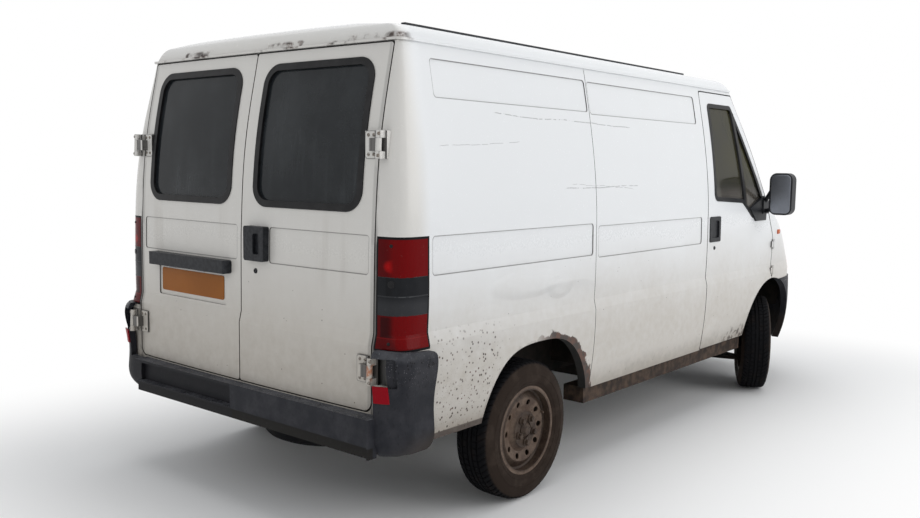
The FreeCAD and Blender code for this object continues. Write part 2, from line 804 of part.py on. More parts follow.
@once
def bumper_shape(inset):
    """Closed solid inside the rear bumper's lines."""
    return loft(BUMPER_LINES, inset, BUMPER_CORNER_PULL)


def bumper_shell():
    """Wall of the rear bumper, clear of the body behind it."""
    return bumper_shape(0.0).cut([bumper_shape(BUMPER_WALL), body(0.0)])


def hinge_pocket(inner, outer):
    """Cut along the van around the lower right hinge, between two widths."""
    half = HINGE_POCKET_MARGIN + PROUD
    return rectangle("x", -outer, -inner, LOWER_HINGE_Z - half, LOWER_HINGE_Z + half, HINGE_BARREL,
                     rear(-FAR), REAR_AXLE_X)


def bumper_corner():
    """Right corner of the rear bumper, with a lined pocket around the hinge."""
    back = rear(-CORNER_LENGTH)
    ahead = rear(BUMPER_CORNER_FRONT)
    outline = ((back, 0.0), (ahead, 0.0), (ahead, BUMPER_SIDE_TOP), (back, BUMPER_TOP + PROUD))
    space = prism("y", outline, (0.0, 0.0, BUMPER_SIDE_RADIUS, 0.0), -FAR, -BUMPER_CORNER_EDGE)
    shallow = hinge_pocket(0.0, HINGE_POCKET_OUTER).cut(bumper_shape(HINGE_POCKET_DEPTH))
    through = hinge_pocket(0.0, HINGE_POCKET_INNER)
    return bumper_shell().common(space).cut([shallow, through])


def rear_bumper():
    """Two corners joined by a step, with the fascia set further in on the left."""
    right_edge = -BUMPER_CORNER_EDGE - BUMPER_OVERLAP
    left_edge = STEP_LEFT
    low_corner = bumper_shell().common(box(rear(-FAR), rear(LOWER_HINGE_SKIN), left_edge - STEP_LEFT_LAP,
                                           BUMPER_CORNER_EDGE + BUMPER_OVERLAP, 0, STEP_TOP))
    tread = box(TAIL_X, rear(LOWER_HINGE_SKIN) + PROUD, right_edge, left_edge, STEP_TOP - STEP_THICKNESS,
                STEP_TOP)
    right = box(TAIL_X, TAIL_X + FASCIA, right_edge, 0, FASCIA_BOTTOM, STEP_TOP)
    left = box(TAIL_X + FASCIA_SET_IN, TAIL_X + FASCIA_SET_IN + FASCIA, -FASCIA, left_edge, FASCIA_BOTTOM,
               STEP_TOP)
    web = box(TAIL_X + LOWER_BAR_SET_IN / 2, TAIL_X + FASCIA_SET_IN + FASCIA, right_edge, left_edge,
              FASCIA_BOTTOM - STEP_THICKNESS, FASCIA_BOTTOM)
    bar = box(TAIL_X + LOWER_BAR_SET_IN, TAIL_X + LOWER_BAR_SET_IN + LOWER_BAR_DEPTH, right_edge, left_edge,
              BUMPER_BOTTOM, LOWER_BAR_TOP)
    end = box(TAIL_X, TAIL_X + FASCIA_SET_IN, right_edge, -BUMPER_CORNER_EDGE, BUMPER_BOTTOM, STEP_TOP)
    middle = tread.fuse([right, left, web, bar, end]).cut(body(0.0))
    corner = bumper_corner()
    return middle.fuse([corner, mirrored(corner), low_corner])


def rear_reflectors():
    block = box(rear(-FAR), rear(LOWER_HINGE_SKIN), -REFLECTOR_OUTER, -REFLECTOR_INNER, REFLECTOR_BOTTOM,
                REFLECTOR_TOP)
    shell = bumper_shape(-REFLECTOR).cut(bumper_shape(0.0))
    reflector = shell.common(block)
    return Part.makeCompound([reflector, mirrored(reflector)])


# Side panels, sliding door and roof

def side_space(back, ahead, low, high):
    """Right half of the body between two places along it."""
    return box(back, ahead, -FAR, 0, low, high)


@once
def recesses():
    """Pressed fields of the right side, as cuts through the skin's outside."""
    fields = []
    for back, ahead, low, high in RECESSES:
        fields.append(rectangle("y", rear(back), rear(ahead), low, high, RECESS_RADIUS, -FAR, 0))
    return layer(-PROUD, GROOVE).common(Part.makeCompound(fields))


def side_panel_right():
    panel = layer(0.0, WALL).common(side_space(rear(-FAR), front(PILLAR_JOINT), SILL_Z, GUTTER_Z))
    panel = panel.cut([corner_joint(), rear_arch()])
    groove = box(rear(MIDDLE_JOINT) - GROOVE / 2, rear(MIDDLE_JOINT) + GROOVE / 2, -FAR, 0, SILL_Z, GUTTER_Z)
    return panel.cut([layer(-PROUD, GROOVE).common(groove), recesses()])


def slide_door_outline(grow):
    """Cut across the van over the sliding side door, with its edges moved outwards."""
    back = rear(MIDDLE_JOINT) + SHUT_GAP - grow
    ahead = front(PILLAR_JOINT) - 2 * SHUT_GAP + grow
    return rectangle("y", back, ahead, SLIDE_DOOR_BOTTOM - grow, SLIDE_DOOR_TOP + grow,
                     SLIDE_DOOR_RADIUS + grow, 0, FAR)


def side_panel_left():
    panel = mirrored(layer(0.0, WALL).common(side_space(rear(-FAR), front(PILLAR_JOINT), SILL_Z, GUTTER_Z)))
    panel = panel.cut([corner_joint(), rear_arch(), slide_door_outline(SHUT_GAP), mirrored(recesses())])
    ring = slide_door_outline(WALL / 2).cut(slide_door_outline(-FRAME_LIP))
    lip = layer(WALL, FRAME_DEPTH).common(ring)
    lip = lip.common(box(rear(-FAR), front(PILLAR_JOINT), 0, FAR, SILL_Z, GUTTER_Z))
    lip = lip.cut(mirrored(rear_box_space()))
    return panel.fuse([lip, slide_rail()])


def sliding_door():
    return layer(0.0, WALL).common(slide_door_outline(0.0)).cut(mirrored(recesses()))


def slide_rail():
    """Runner of the sliding door along the left rear panel."""
    half = SLIDE_RAIL_HEIGHT / 2
    strip = box(rear(CORNER_JOINT_FOOT) + GROOVE, rear(MIDDLE_JOINT) - SHUT_GAP, 0, FAR,
                SLIDE_RAIL_Z - half, SLIDE_RAIL_Z + half)
    rail = body(-SLIDE_RAIL_PROUD).cut(body(0.0)).common(strip)
    line = box(rear(-FAR), rear(FAR), 0, FAR, SLIDE_RAIL_Z - GROOVE, SLIDE_RAIL_Z + GROOVE)
    slot = body(-SLIDE_RAIL_PROUD - PROUD).cut(body(-GROOVE)).common(line)
    return rail.cut(slot)


def roof_solid(drop):
    """Closed solid under the roof skin, or under its inner face when dropped by the roof's thickness."""
    z, half, tail, shoulder, nose, reach, share = UPPER_LINES[-1]
    wires = []
    for rise, side, back, ahead in ROOF_LINES:
        line = (z + rise - drop, half - side - drop, tail + back + drop, shoulder - ahead - drop,
                nose - ahead - drop, reach, share)
        wires.append(section(line, 0.0, flat=REAR_FLAT_HALF - side - drop))
    return Part.makeLoft(wires, True, False, False)


def roof_panel():
    roof = roof_solid(0.0).cut(roof_solid(ROOF_WALL))
    z = UPPER_LINES[-1][0]
    outer = Part.Face(section(UPPER_LINES[-1], -GUTTER_WIDTH)).extrude(vec(0, 0, GUTTER_HEIGHT))
    inner = Part.Face(section(UPPER_LINES[-1], GUTTER_ROOT)).extrude(vec(0, 0, GUTTER_HEIGHT))
    ahead = front(UPPER_LINES[-1][3])
    gutter = outer.cut(inner).common(box(rear(-FAR), ahead, -FAR, FAR, z, z + GUTTER_HEIGHT))
    return roof.fuse(gutter)


def roof_rails():
    """Low bars along the roof edges, each on small feet."""
    back = rear(RAIL_BACK)
    ahead = front(RAIL_FRONT)
    bar = rectangle("x", -RAIL_Y - RAIL_WIDTH / 2, -RAIL_Y + RAIL_WIDTH / 2, RAIL_Z, RAIL_Z + RAIL_HEIGHT,
                    RAIL_HEIGHT / 4, back, ahead)
    pieces = [bar]
    pitch = (ahead - back - RAIL_FOOT) / (RAIL_FEET - 1)
    for i in range(RAIL_FEET):
        start = back + i * pitch
        pieces.append(box(start, start + RAIL_FOOT, -RAIL_Y - RAIL_WIDTH / 2, -RAIL_Y + RAIL_WIDTH / 2,
                          RAIL_Z - RAIL_FOOT / 2, RAIL_Z + RAIL_HEIGHT / 2))
    rail = pieces[0].fuse(pieces[1:]).cut(roof_solid(0.0))
    return Part.makeCompound([rail, mirrored(rail)])


# Cab: pillars and screen frame, front doors, wings, bonnet and screen

def front_door_outline(grow):
    """Cut across the van over the right front door, with its edges moved outwards."""
    points = ((front(FRONT_DOOR_REAR) - grow, FRONT_DOOR_BOTTOM - grow),
              (front(FRONT_DOOR_REAR) - grow, FRONT_DOOR_TOP + grow),
              (front(FRONT_DOOR_HEAD) + grow, FRONT_DOOR_TOP + grow),
              (front(FRONT_DOOR_PILLAR_X) + grow, FRONT_DOOR_PILLAR_Z + grow),
              (front(FRONT_DOOR_NOSE) + grow, FRONT_DOOR_NOSE_Z + grow / 2),
              (front(FRONT_DOOR_NOSE) + grow, FRONT_DOOR_BOTTOM - grow))
    radii = (FRONT_DOOR_RADIUS, FRONT_DOOR_RADIUS, FRONT_DOOR_RADIUS, FRONT_DOOR_BEND, FRONT_DOOR_BEND, 0.0)
    return prism("y", points, radii, -FAR, 0)


def door_window():
    """Cut across the van over the right front door's window."""
    return prism("y", [(front(x), z) for x, z in DOOR_WINDOW], DOOR_WINDOW_RADII, -FAR, 0)


def small_hinge(middle, along, back, barrel, pin, half, centre):
    """Knuckled hinge about a pin: moving knuckle, fixed knuckles, and the room each one needs."""
    def bar(low, high, radius):
        return rod(middle + along * low, middle + along * high, radius)

    def strap(low, high, way):
        start = middle + along * low
        reach = back * (way * SMALL_HINGE_STRAP)
        deep = along.cross(back) * (2 * barrel)
        outline = Part.makePolygon([start, start + reach, start + reach - deep, start - deep, start])
        return Part.Face(outline).extrude(along * (high - low))

    room = barrel + PROUD
    bore = bar(-half, half, pin + SMALL_PIN_RUNNING)
    moving = bar(-centre, centre, barrel).fuse(strap(-centre, centre, 1)).cut(bore)
    fixed = []
    for low, high in ((-half, -centre - SMALL_HINGE_GAP), (centre + SMALL_HINGE_GAP, half)):
        fixed.append(bar(low, high, barrel))
        fixed.append(strap(low, high, -1))
    fixed = bar(-half, half, pin).fuse(fixed)
    fixed_room = bar(-centre - SMALL_HINGE_GAP, centre + SMALL_HINGE_GAP, room)
    moving_room = [bar(-half - PROUD, -centre, room), bar(centre, half + PROUD, room), bore]
    return moving, fixed, moving_room, fixed_room


@once
def door_hinges():
    """Both hinges of the right front door."""
    x = front(FRONT_DOOR_NOSE) + DOOR_GAP / 2
    sizes = (DOOR_HINGE_BARREL, DOOR_HINGE_PIN, DOOR_HINGE_HALF, DOOR_HINGE_MIDDLE)
    up = vec(0, 0, 1)
    back = vec(-1, 0, 0)
    return [small_hinge(vec(x, -DOOR_AXIS_Y, z), up, back, *sizes) for z in DOOR_HINGE_HEIGHTS]


@once
def bonnet_hinges():
    """Both hinges of the bonnet."""
    sizes = (BONNET_HINGE_BARREL, BONNET_HINGE_PIN, BONNET_HINGE_HALF, BONNET_HINGE_MIDDLE)
    middles = [vec(front(BONNET_REAR), side * BONNET_HINGE_Y, BONNET_AXIS_Z) for side in (-1, 1)]
    return [small_hinge(middle, vec(0, -1, 0), vec(1, 0, 0), *sizes) for middle in middles]


def hinged(shape, hinges, moving):
    """Give a panel its share of some hinges, after clearing room for the other share."""
    rooms = []
    for hinge in hinges:
        rooms += hinge[2] if moving else [hinge[3]]
    return shape.cut(rooms).fuse([hinge[0] if moving else hinge[1] for hinge in hinges])


@once
def front_door_right():
    skin = layer(0.0, SKIN_LAP).common(front_door_outline(0.0))
    pan = layer(SKIN_LAP, WALL).common(front_door_outline(-LAP_INSET))
    door = skin.fuse(pan).cut([door_window(), front_arch()])
    return hinged(door.cut(handle_pocket()), door_hinges(), True)


def handle_space(inset):
    """Cut across the van over the right front door's handle."""
    return rectangle("y", front(DOOR_HANDLE_REAR) + inset, front(DOOR_HANDLE_FRONT) - inset,
                     DOOR_HANDLE_BOTTOM + inset, DOOR_HANDLE_TOP - inset, HINGE_BARREL, -FAR, 0)


def handle_pocket():
    return layer(-PROUD, DOOR_HANDLE_POCKET).common(handle_space(0.0))


@once
def front_door_handle():
    """Black handle housing, let into the door skin."""
    plate = layer(-HINGE_LEAF, DOOR_HANDLE_POCKET).common(handle_space(0.0))
    grip = layer(-HINGE_LEAF - PROUD, DOOR_HANDLE_POCKET / 2).common(handle_space(FRAME_LIP))
    return plate.cut(grip)


@once
def front_door_glass():
    return layer(GLASS_INSET, GLASS_INSET + GLASS).common(door_window())


def screen_space():
    """Cut along the van over the windscreen."""
    points = ((-SCREEN_FOOT_HALF, SCREEN_BOTTOM), (-SCREEN_HEAD_HALF, SCREEN_TOP),
              (SCREEN_HEAD_HALF, SCREEN_TOP), (SCREEN_FOOT_HALF, SCREEN_BOTTOM))
    return prism("x", points, SCREEN_RADIUS, front(SCREEN_REAR), front(FAR))


@once
def cab_frame():
    frame = layer(0.0, FRAME_DEPTH)
    ahead = front(FRONT_DOOR_NOSE) + DOOR_GAP
    behind = box(front(PILLAR_JOINT), ahead, -FAR, FAR, SILL_Z, GUTTER_Z)
    above = box(ahead, front(FAR), -FAR, FAR, COWL_Z, GUTTER_Z)
    frame = frame.common(behind.fuse(above))
    pocket = layer(-PROUD, POCKET).common(front_door_outline(DOOR_GAP))
    opening = front_door_outline(-LAP_INSET - FRAME_LIP)
    swing = box(front(BONNET_REAR) - BONNET_SWING, front(FAR), -BONNET_REAR_HALF, BONNET_REAR_HALF, COWL_Z,
                COWL_Z + BONNET_SWING)
    cuts = [pocket, mirrored(pocket), opening, mirrored(opening), screen_space(), front_arch(), swing]
    return frame.cut(cuts)


def windscreen():
    return layer(GLASS_INSET, GLASS_INSET + GLASS).common(screen_space())


def bonnet_space(grow):
    """Cut downwards over the bonnet."""
    back = front(BONNET_REAR) - grow
    ahead = front(FRONT_OVERHANG)
    side = grow * BONNET_SIDE_GAP / SHUT_GAP
    points = ((back, -BONNET_REAR_HALF - side), (ahead, -BONNET_FRONT_HALF - side),
              (ahead, BONNET_FRONT_HALF + side), (back, BONNET_REAR_HALF + side))
    return prism("z", points, 0, BONNET_FRONT_Z - grow, COWL_Z - SHUT_GAP + grow)


def bonnet():
    return hinged(layer(0.0, BONNET_WALL).common(bonnet_space(0.0)), bonnet_hinges(), True)


def face_space():
    """Space of lamps and grille across the nose."""
    lamp = box(front(HEADLAMP_BACK), front(FAR), -FAR, -HEADLAMP_INNER, FACE_BOTTOM, FACE_TOP)
    grille_box = box(front(HEADLAMP_BACK), front(FAR), -HEADLAMP_INNER, HEADLAMP_INNER,
                     FACE_BOTTOM, FACE_TOP)
    return lamp, grille_box


@once
def front_wing_right():
    back = front(FRONT_DOOR_NOSE) + DOOR_GAP
    wing = layer(0.0, WALL).common(box(back, front(FAR), -FAR, 0, SILL_Z, COWL_Z))
    lamp, grille_box = face_space()
    below = box(front(FRONT_ARCH_X), front(FAR), -FAR, 0, 0, FRONT_BUMPER_TOP)
    cowl = box(back, front(BONNET_REAR) - SHUT_GAP, -BONNET_REAR_HALF, 0, SILL_Z, GUTTER_Z)
    wing = wing.cut([front_arch(), lamp, grille_box, below, bonnet_space(SHUT_GAP), cowl])
    return hinged(wing, door_hinges(), False)


@once
def cowl_panel():
    """Dark trough between bonnet and windscreen."""
    back = front(FRONT_DOOR_NOSE) + DOOR_GAP
    ahead = front(BONNET_REAR) - SHUT_GAP
    space = box(back, ahead, -BONNET_REAR_HALF, BONNET_REAR_HALF, BONNET_FRONT_Z, COWL_Z)
    top = COWL_Z - FRAME_DEPTH / 4
    tray = box(front(FIREWALL_X), ahead, -BONNET_REAR_HALF, BONNET_REAR_HALF, top - FIREWALL, top)
    return hinged(layer(0.0, WALL).common(space).fuse(tray.common(body(0.0))), bonnet_hinges(), False)


def headlamps():
    lamp = layer(0.0, HEADLAMP_DEPTH).common(face_space()[0])
    return Part.makeCompound([lamp, mirrored(lamp)])


def grille():
    """Slatted opening between the headlamps."""
    space = face_space()[1]
    half = HEADLAMP_INNER - GROOVE
    space = box(front(HEADLAMP_BACK), front(FAR), -half, half, FACE_BOTTOM, FACE_TOP)
    skin = layer(GROOVE, GROOVE + GRILLE_DEPTH).common(space)
    pitch = (FACE_TOP - FACE_BOTTOM - GRILLE_BAR) / GRILLE_BARS
    cuts = []
    middle = GRILLE_BAR / 2
    for i in range(GRILLE_BARS):
        low = FACE_BOTTOM + GRILLE_BAR + i * pitch
        high = low + pitch - GRILLE_BAR
        for side in (-1, 1):
            y0, y1 = sorted((side * middle, side * (half - GRILLE_BAR)))
            cuts.append(box(front(HEADLAMP_BACK), front(FAR), y0, y1, low, high))
    return skin.cut(cuts)


def front_bumper():
    outer = loft(FRONT_BUMPER_LINES, 0.0)
    inner = loft(FRONT_BUMPER_LINES, FRONT_BUMPER_WALL)
    shell = outer.cut(inner).common(box(front(FRONT_ARCH_X), front(FAR), -FAR, FAR, 0, FAR))
    intake = rectangle("x", -INTAKE_HALF, INTAKE_HALF, INTAKE_BOTTOM, INTAKE_TOP, INTAKE_RADIUS, front(0),
                       front(FAR))
    return shell.cut([front_arch(), intake])


def wheel_at(shape, x, side):
    """A wheel piece, drawn about the Y axis for the right side, put on its axle."""
    piece = shape if side < 0 else mirrored(shape)
    piece = piece.copy()
    piece.translate(vec(x, side * TRACK_HALF, TYRE_RADIUS))
    return piece


def steered(shape, side):
    """A straight-ahead front piece turned about its kingpin to the resting lock."""
    piece = shape.copy()
    piece.rotate(vec(FRONT_AXLE_X, side * (TRACK_HALF - KINGPIN_INBOARD), 0), vec(0, 0, 1), STEER_REST)
    return piece


def revolved(points):
    """Solid of revolution about the Y axis from half-section points (y, radius)."""
    corners = [vec(0, y, radius) for y, radius in points]
    wire = Part.makePolygon(corners + corners[:1])
    return Part.Face(wire).revolve(vec(0, 0, 0), vec(0, 1, 0), 360)


@once
def tyre():
    """Tyre about the Y axis, with curved sidewalls and rounded shoulders."""
    rise = (TYRE_RADIUS - SHOULDER_DROP - FLANGE_RADIUS) / SIDEWALL_STEPS
    side = []
    for i in range(SIDEWALL_STEPS + 1):
        swell = math.sin(math.pi * (i + SIDEWALL_FOOT) / (SIDEWALL_STEPS + SIDEWALL_FOOT + SIDEWALL_HEAD))
        side.append((TREAD_HALF + (TYRE_HALF - TREAD_HALF) * swell, FLANGE_RADIUS + i * rise))
    side[-1] = (TREAD_HALF, TYRE_RADIUS - SHOULDER_DROP)
    bead = [(BEAD_HALF, BEAD_RADIUS), (BEAD_HALF, FLANGE_RADIUS)]
    half = bead + side + [(TREAD_HALF - SHOULDER_DROP, TYRE_RADIUS)]
    return revolved([(-y, radius) for y, radius in half] + half[::-1])


@once
def rim():
    """Pressed steel wheel with its dished, vented disc, hub and brake, about the Y axis, outside at -Y."""
    seat = BEAD_RADIUS
    inner = seat - RIM_WALL
    edge = BEAD_HALF + RIM_WALL
    half = [(BEAD_HALF, seat), (BEAD_HALF, FLANGE_RADIUS), (edge, FLANGE_RADIUS), (edge, inner),
            (WELL_TOP_HALF, inner), (WELL_HALF, RIM_DROP_RADIUS)]
    barrel = revolved(half + [(-y, radius) for y, radius in half[::-1]])
    low = BOSS_RADIUS + DISC_DISH
    hole = SPINDLE_RADIUS + DISC_DISH
    vent_edge = VENT_CIRCLE + DISC_DISH
    face = [(-DISC_OUT + DISC_DISH, inner), (-DISC_OUT - RIM_WALL, vent_edge), (-DISC_OUT + RIM_WALL, low),
            (-HUB_FACE - RIM_WALL, BOSS_RADIUS), (-HUB_FACE - RIM_WALL, hole)]
    back = [(-HUB_FACE, hole), (-HUB_FACE, BOSS_RADIUS), (-DISC_OUT + 2 * RIM_WALL, low - RIM_WALL),
            (-DISC_OUT, vent_edge), (-DISC_OUT + DISC_DISH + RIM_WALL, inner)]
    disc = revolved(face + back)
    vents = []
    for i in range(VENT_COUNT):
        vent = Part.makeCylinder(VENT_RADIUS, HUB_FACE + RIM_WALL,
                                 vec(0, -HUB_FACE - DISC_DISH, VENT_CIRCLE), vec(0, 1, 0))
        vent.rotate(vec(0, 0, 0), vec(0, 1, 0), (i + 0.5) * 360 / VENT_COUNT)
        vents.append(vent)
    disc = disc.cut(vents)
    hub = revolved(((-HUB_FACE, 0), (-HUB_FACE, BOSS_RADIUS), (-HUB_FACE + 2 * RIM_WALL, BOSS_RADIUS),
                    (-HUB_FACE + 2 * RIM_WALL, HUB_RADIUS), (-BRAKE_OUT - BRAKE_WIDTH, HUB_RADIUS),
                    (-BRAKE_OUT - BRAKE_WIDTH, BRAKE_RADIUS), (-BRAKE_OUT, BRAKE_RADIUS), (-BRAKE_OUT, 0)))
    cap = revolved(((-HUB_FACE - DISC_DISH, 0), (-HUB_FACE - DISC_DISH, SPINDLE_RADIUS),
                    (-HUB_FACE - RIM_WALL, HUB_RADIUS), (-HUB_FACE, HUB_RADIUS), (-HUB_FACE, 0)))
    bolts = []
    for i in range(BOLT_COUNT):
        bolt = Part.makeCylinder(BOLT_RADIUS, DISC_DISH + RIM_WALL,
                                 vec(0, -HUB_FACE - DISC_DISH, BOLT_CIRCLE), vec(0, 1, 0))
        bolt.rotate(vec(0, 0, 0), vec(0, 1, 0), (i + 0.5) * 360 / BOLT_COUNT)
        bolts.append(bolt)
    wheel = barrel.fuse([disc, hub, cap] + bolts)
    bore = Part.makeCylinder(SPINDLE_RADIUS + SPINDLE_RUNNING, HUB_FACE, vec(0, -HUB_FACE + RIM_WALL, 0),
                             vec(0, 1, 0))
    return wheel.cut(bore)


def spindle(inboard):
    """Stub that carries a wheel, from inside the hub to a place inboard of the wheel's middle."""
    return Part.makeCylinder(SPINDLE_RADIUS, HUB_FACE - 2 * RIM_WALL + inboard,
                             vec(0, -HUB_FACE + 2 * RIM_WALL, 0), vec(0, 1, 0))


def knuckle():
    """Right front hub carrier about the wheel's middle, straight ahead."""
    carrier = Part.makeCylinder(CARRIER_RADIUS, KINGPIN_INBOARD + 2 * LUG_HALF + BRAKE_OUT - PROUD,
                                vec(0, -BRAKE_OUT + PROUD, 0), vec(0, 1, 0))
    y = KINGPIN_INBOARD
    lugs = box(-LUG_HALF, LUG_HALF, y - LUG_HALF, y + LUG_HALF, LOWER_LUG_Z - TYRE_RADIUS,
               UPPER_LUG_Z - TYRE_RADIUS)
    arm = box(-VENT_CIRCLE, 0, y + LUG_HALF / 2, y + 2 * LUG_HALF, -LUG_HALF, 0)
    piece = carrier.fuse([lugs, arm, spindle(KINGPIN_INBOARD)])
    low = Part.makeCylinder(BALL_PIN + PIN_RUNNING, ARM_THICKNESS, vec(0, y, LOWER_LUG_Z - TYRE_RADIUS),
                            vec(0, 0, 1))
    high = Part.makeCylinder(BALL_PIN + PIN_RUNNING, ARM_THICKNESS,
                             vec(0, y, UPPER_LUG_Z - ARM_THICKNESS - TYRE_RADIUS), vec(0, 0, 1))
    return piece.cut([low, high])


def front_arms():
    """Lower arms with their ball pins and the crossmember between them."""
    kingpin = TRACK_HALF - KINGPIN_INBOARD
    top = LOWER_LUG_Z - PIN_RUNNING
    root = CARRIER_RADIUS * 3
    points = ((front(-ARM_TIP_HALF), -kingpin - LUG_HALF), (front(ARM_TIP_HALF), -kingpin - LUG_HALF),
              (front(root), -LEG_INNER + LUG_HALF), (front(-root), -LEG_INNER + LUG_HALF))
    arm = prism("z", points, LUG_HALF / 2, top - ARM_THICKNESS, top)
    pin = Part.makeCylinder(BALL_PIN, ARM_THICKNESS, vec(FRONT_AXLE_X, -kingpin, top - PROUD), vec(0, 0, 1))
    arm = arm.fuse(pin)
    cross = box(front(-root), front(root), -LEG_INNER, LEG_INNER,
                top - 3 * ARM_THICKNESS / 2, top + ARM_THICKNESS)
    post_top = FLOOR_Z - FLOOR_THICKNESS - RAIL_BEAM_DEPTH
    post = box(front(-CARRIER_RADIUS * 2), front(CARRIER_RADIUS * 2), -LEG_INNER - LUG_HALF,
               -LEG_INNER + CARRIER_RADIUS, top, post_top)
    return cross.fuse([arm, mirrored(arm), post, mirrored(post)])


def front_struts():
    """Spring struts over the knuckles, up to the wheel boxes."""
    kingpin = TRACK_HALF - KINGPIN_INBOARD
    foot_z = UPPER_LUG_Z + PIN_RUNNING
    foot = box(front(-LUG_HALF), front(LUG_HALF), -kingpin - LUG_HALF, -STRUT_FOOT_Y + STRUT_RADIUS,
               foot_z, foot_z + ARM_THICKNESS)
    pin_foot = vec(FRONT_AXLE_X, -kingpin, foot_z - ARM_THICKNESS + 2 * PIN_RUNNING)
    pin = Part.makeCylinder(BALL_PIN, ARM_THICKNESS, pin_foot, vec(0, 0, 1))
    low = vec(FRONT_AXLE_X, -STRUT_FOOT_Y, foot_z + PROUD)
    high = vec(FRONT_AXLE_X, -STRUT_HEAD_Y, FRONT_BOX_TOP - BOX_WALL)
    tube = rod(low, high, STRUT_RADIUS)
    spring = Part.makeCylinder(SPRING_RADIUS, SPRING_TURNS_Z - SPRING_LOW_Z,
                               vec(FRONT_AXLE_X, -STRUT_HEAD_Y - PROUD, SPRING_LOW_Z), vec(0, 0, 1))
    top = box(front(-FAR), front(FAR), -FAR, FAR, FRONT_BOX_TOP - BOX_WALL, FAR)
    strut = foot.fuse([pin, tube, spring]).cut(top)
    return Part.makeCompound([strut, mirrored(strut)])


def front_suspension():
    return Part.makeCompound([front_arms(), front_struts()])


def rear_axle():
    """Tubular rear axle with its stubs."""
    inboard = KINGPIN_INBOARD
    tube_end = TRACK_HALF - inboard
    tube = Part.makeCylinder(AXLE_TUBE_RADIUS, 2 * tube_end, vec(REAR_AXLE_X, -tube_end, TYRE_RADIUS),
                             vec(0, 1, 0))
    stub = wheel_at(spindle(inboard + LUG_HALF), REAR_AXLE_X, -1)
    plate = Part.makeCylinder(BRAKE_RADIUS, RIM_WALL,
                              vec(REAR_AXLE_X, -TRACK_HALF - BRAKE_OUT + PROUD, TYRE_RADIUS), vec(0, 1, 0))
    collar = Part.makeCylinder(AXLE_TUBE_RADIUS, inboard + BRAKE_OUT,
                               vec(REAR_AXLE_X, -TRACK_HALF - BRAKE_OUT + PROUD, TYRE_RADIUS), vec(0, 1, 0))
    return tube.fuse([stub, mirrored(stub), plate, mirrored(plate), collar, mirrored(collar)])


def leaf_springs():
    """Single leaf each side, bowed down under the axle, on eyes below the frame rails."""
    low = TYRE_RADIUS - AXLE_TUBE_RADIUS
    upper = Part.Arc(vec(rear(-LEAF_REACH), -LEAF_Y, LEAF_EYE_Z), vec(REAR_AXLE_X, -LEAF_Y, low),
                     vec(rear(LEAF_REACH), -LEAF_Y, LEAF_EYE_Z))
    under = Part.Arc(vec(rear(-LEAF_REACH), -LEAF_Y, LEAF_EYE_Z - LEAF_THICKNESS),
                     vec(REAR_AXLE_X, -LEAF_Y, low - LEAF_THICKNESS),
                     vec(rear(LEAF_REACH), -LEAF_Y, LEAF_EYE_Z - LEAF_THICKNESS))
    back = Part.makeLine(vec(rear(-LEAF_REACH), -LEAF_Y, LEAF_EYE_Z),
                         vec(rear(-LEAF_REACH), -LEAF_Y, LEAF_EYE_Z - LEAF_THICKNESS))
    ahead = Part.makeLine(vec(rear(LEAF_REACH), -LEAF_Y, LEAF_EYE_Z - LEAF_THICKNESS),
                          vec(rear(LEAF_REACH), -LEAF_Y, LEAF_EYE_Z))
    outline = Part.Wire([upper.toShape(), back, under.toShape(), ahead])
    leaf = Part.Face(outline).extrude(vec(0, LEAF_WIDTH, 0))
    leaf.translate(vec(0, -LEAF_WIDTH / 2, 0))
    hang = FLOOR_Z - FLOOR_THICKNESS - RAIL_BEAM_DEPTH
    pieces = [leaf]
    for x in (rear(-LEAF_REACH), rear(LEAF_REACH)):
        end = vec(x, -LEAF_Y - LEAF_WIDTH / 2, LEAF_EYE_Z - LEAF_THICKNESS / 2)
        pieces.append(Part.makeCylinder(LEAF_EYE, LEAF_WIDTH, end, vec(0, 1, 0)))
        pieces.append(box(x - LEAF_EYE, x + LEAF_EYE, -LEAF_Y - LEAF_WIDTH / 4, -LEAF_Y + LEAF_WIDTH / 4,
                          LEAF_EYE_Z, hang))
    spring = pieces[0].fuse(pieces[1:])
    return Part.makeCompound([spring, mirrored(spring), dampers()])


def dampers():
    """Rear dampers from the axle up to the floor."""
    foot = vec(rear(-AXLE_TUBE_RADIUS), -LEG_OUTER, TYRE_RADIUS + PROUD)
    head = vec(rear(-4 * AXLE_TUBE_RADIUS), -LEG_OUTER, FLOOR_Z - FLOOR_THICKNESS)
    damper = rod(foot, head, DAMPER_RADIUS).cut(
        [Part.makeCylinder(AXLE_TUBE_RADIUS, 2 * TRACK_HALF, vec(REAR_AXLE_X, -TRACK_HALF, TYRE_RADIUS),
                           vec(0, 1, 0)),
         box(rear(-FAR), rear(FAR), -FAR, FAR, FLOOR_Z - FLOOR_THICKNESS, FAR)])
    return Part.makeCompound([damper, mirrored(damper)])


def box_shell(back, ahead, inner_y, top, low):
    """Open-bottomed wheel box on the right side, from the side wall inwards."""
    outer = box(back, ahead, -FAR, -inner_y, low, top)
    hollow = box(back + BOX_WALL, ahead - BOX_WALL, -FAR, -inner_y - BOX_WALL, low - PROUD, top - BOX_WALL)
    return outer.cut(hollow).common(body(WALL))


def rear_box_space():
    """Outside of the right rear wheel box."""
    return box(rear(REAR_BOX_BACK), rear(REAR_BOX_AHEAD), -FAR, -REAR_BOX_INNER, FLOOR_Z - FLOOR_THICKNESS,
               REAR_BOX_TOP)


def rear_wheel_boxes():
    piece = box_shell(rear(REAR_BOX_BACK), rear(REAR_BOX_AHEAD), REAR_BOX_INNER, REAR_BOX_TOP,
                      FLOOR_Z - FLOOR_THICKNESS)
    return Part.makeCompound([piece, mirrored(piece)])


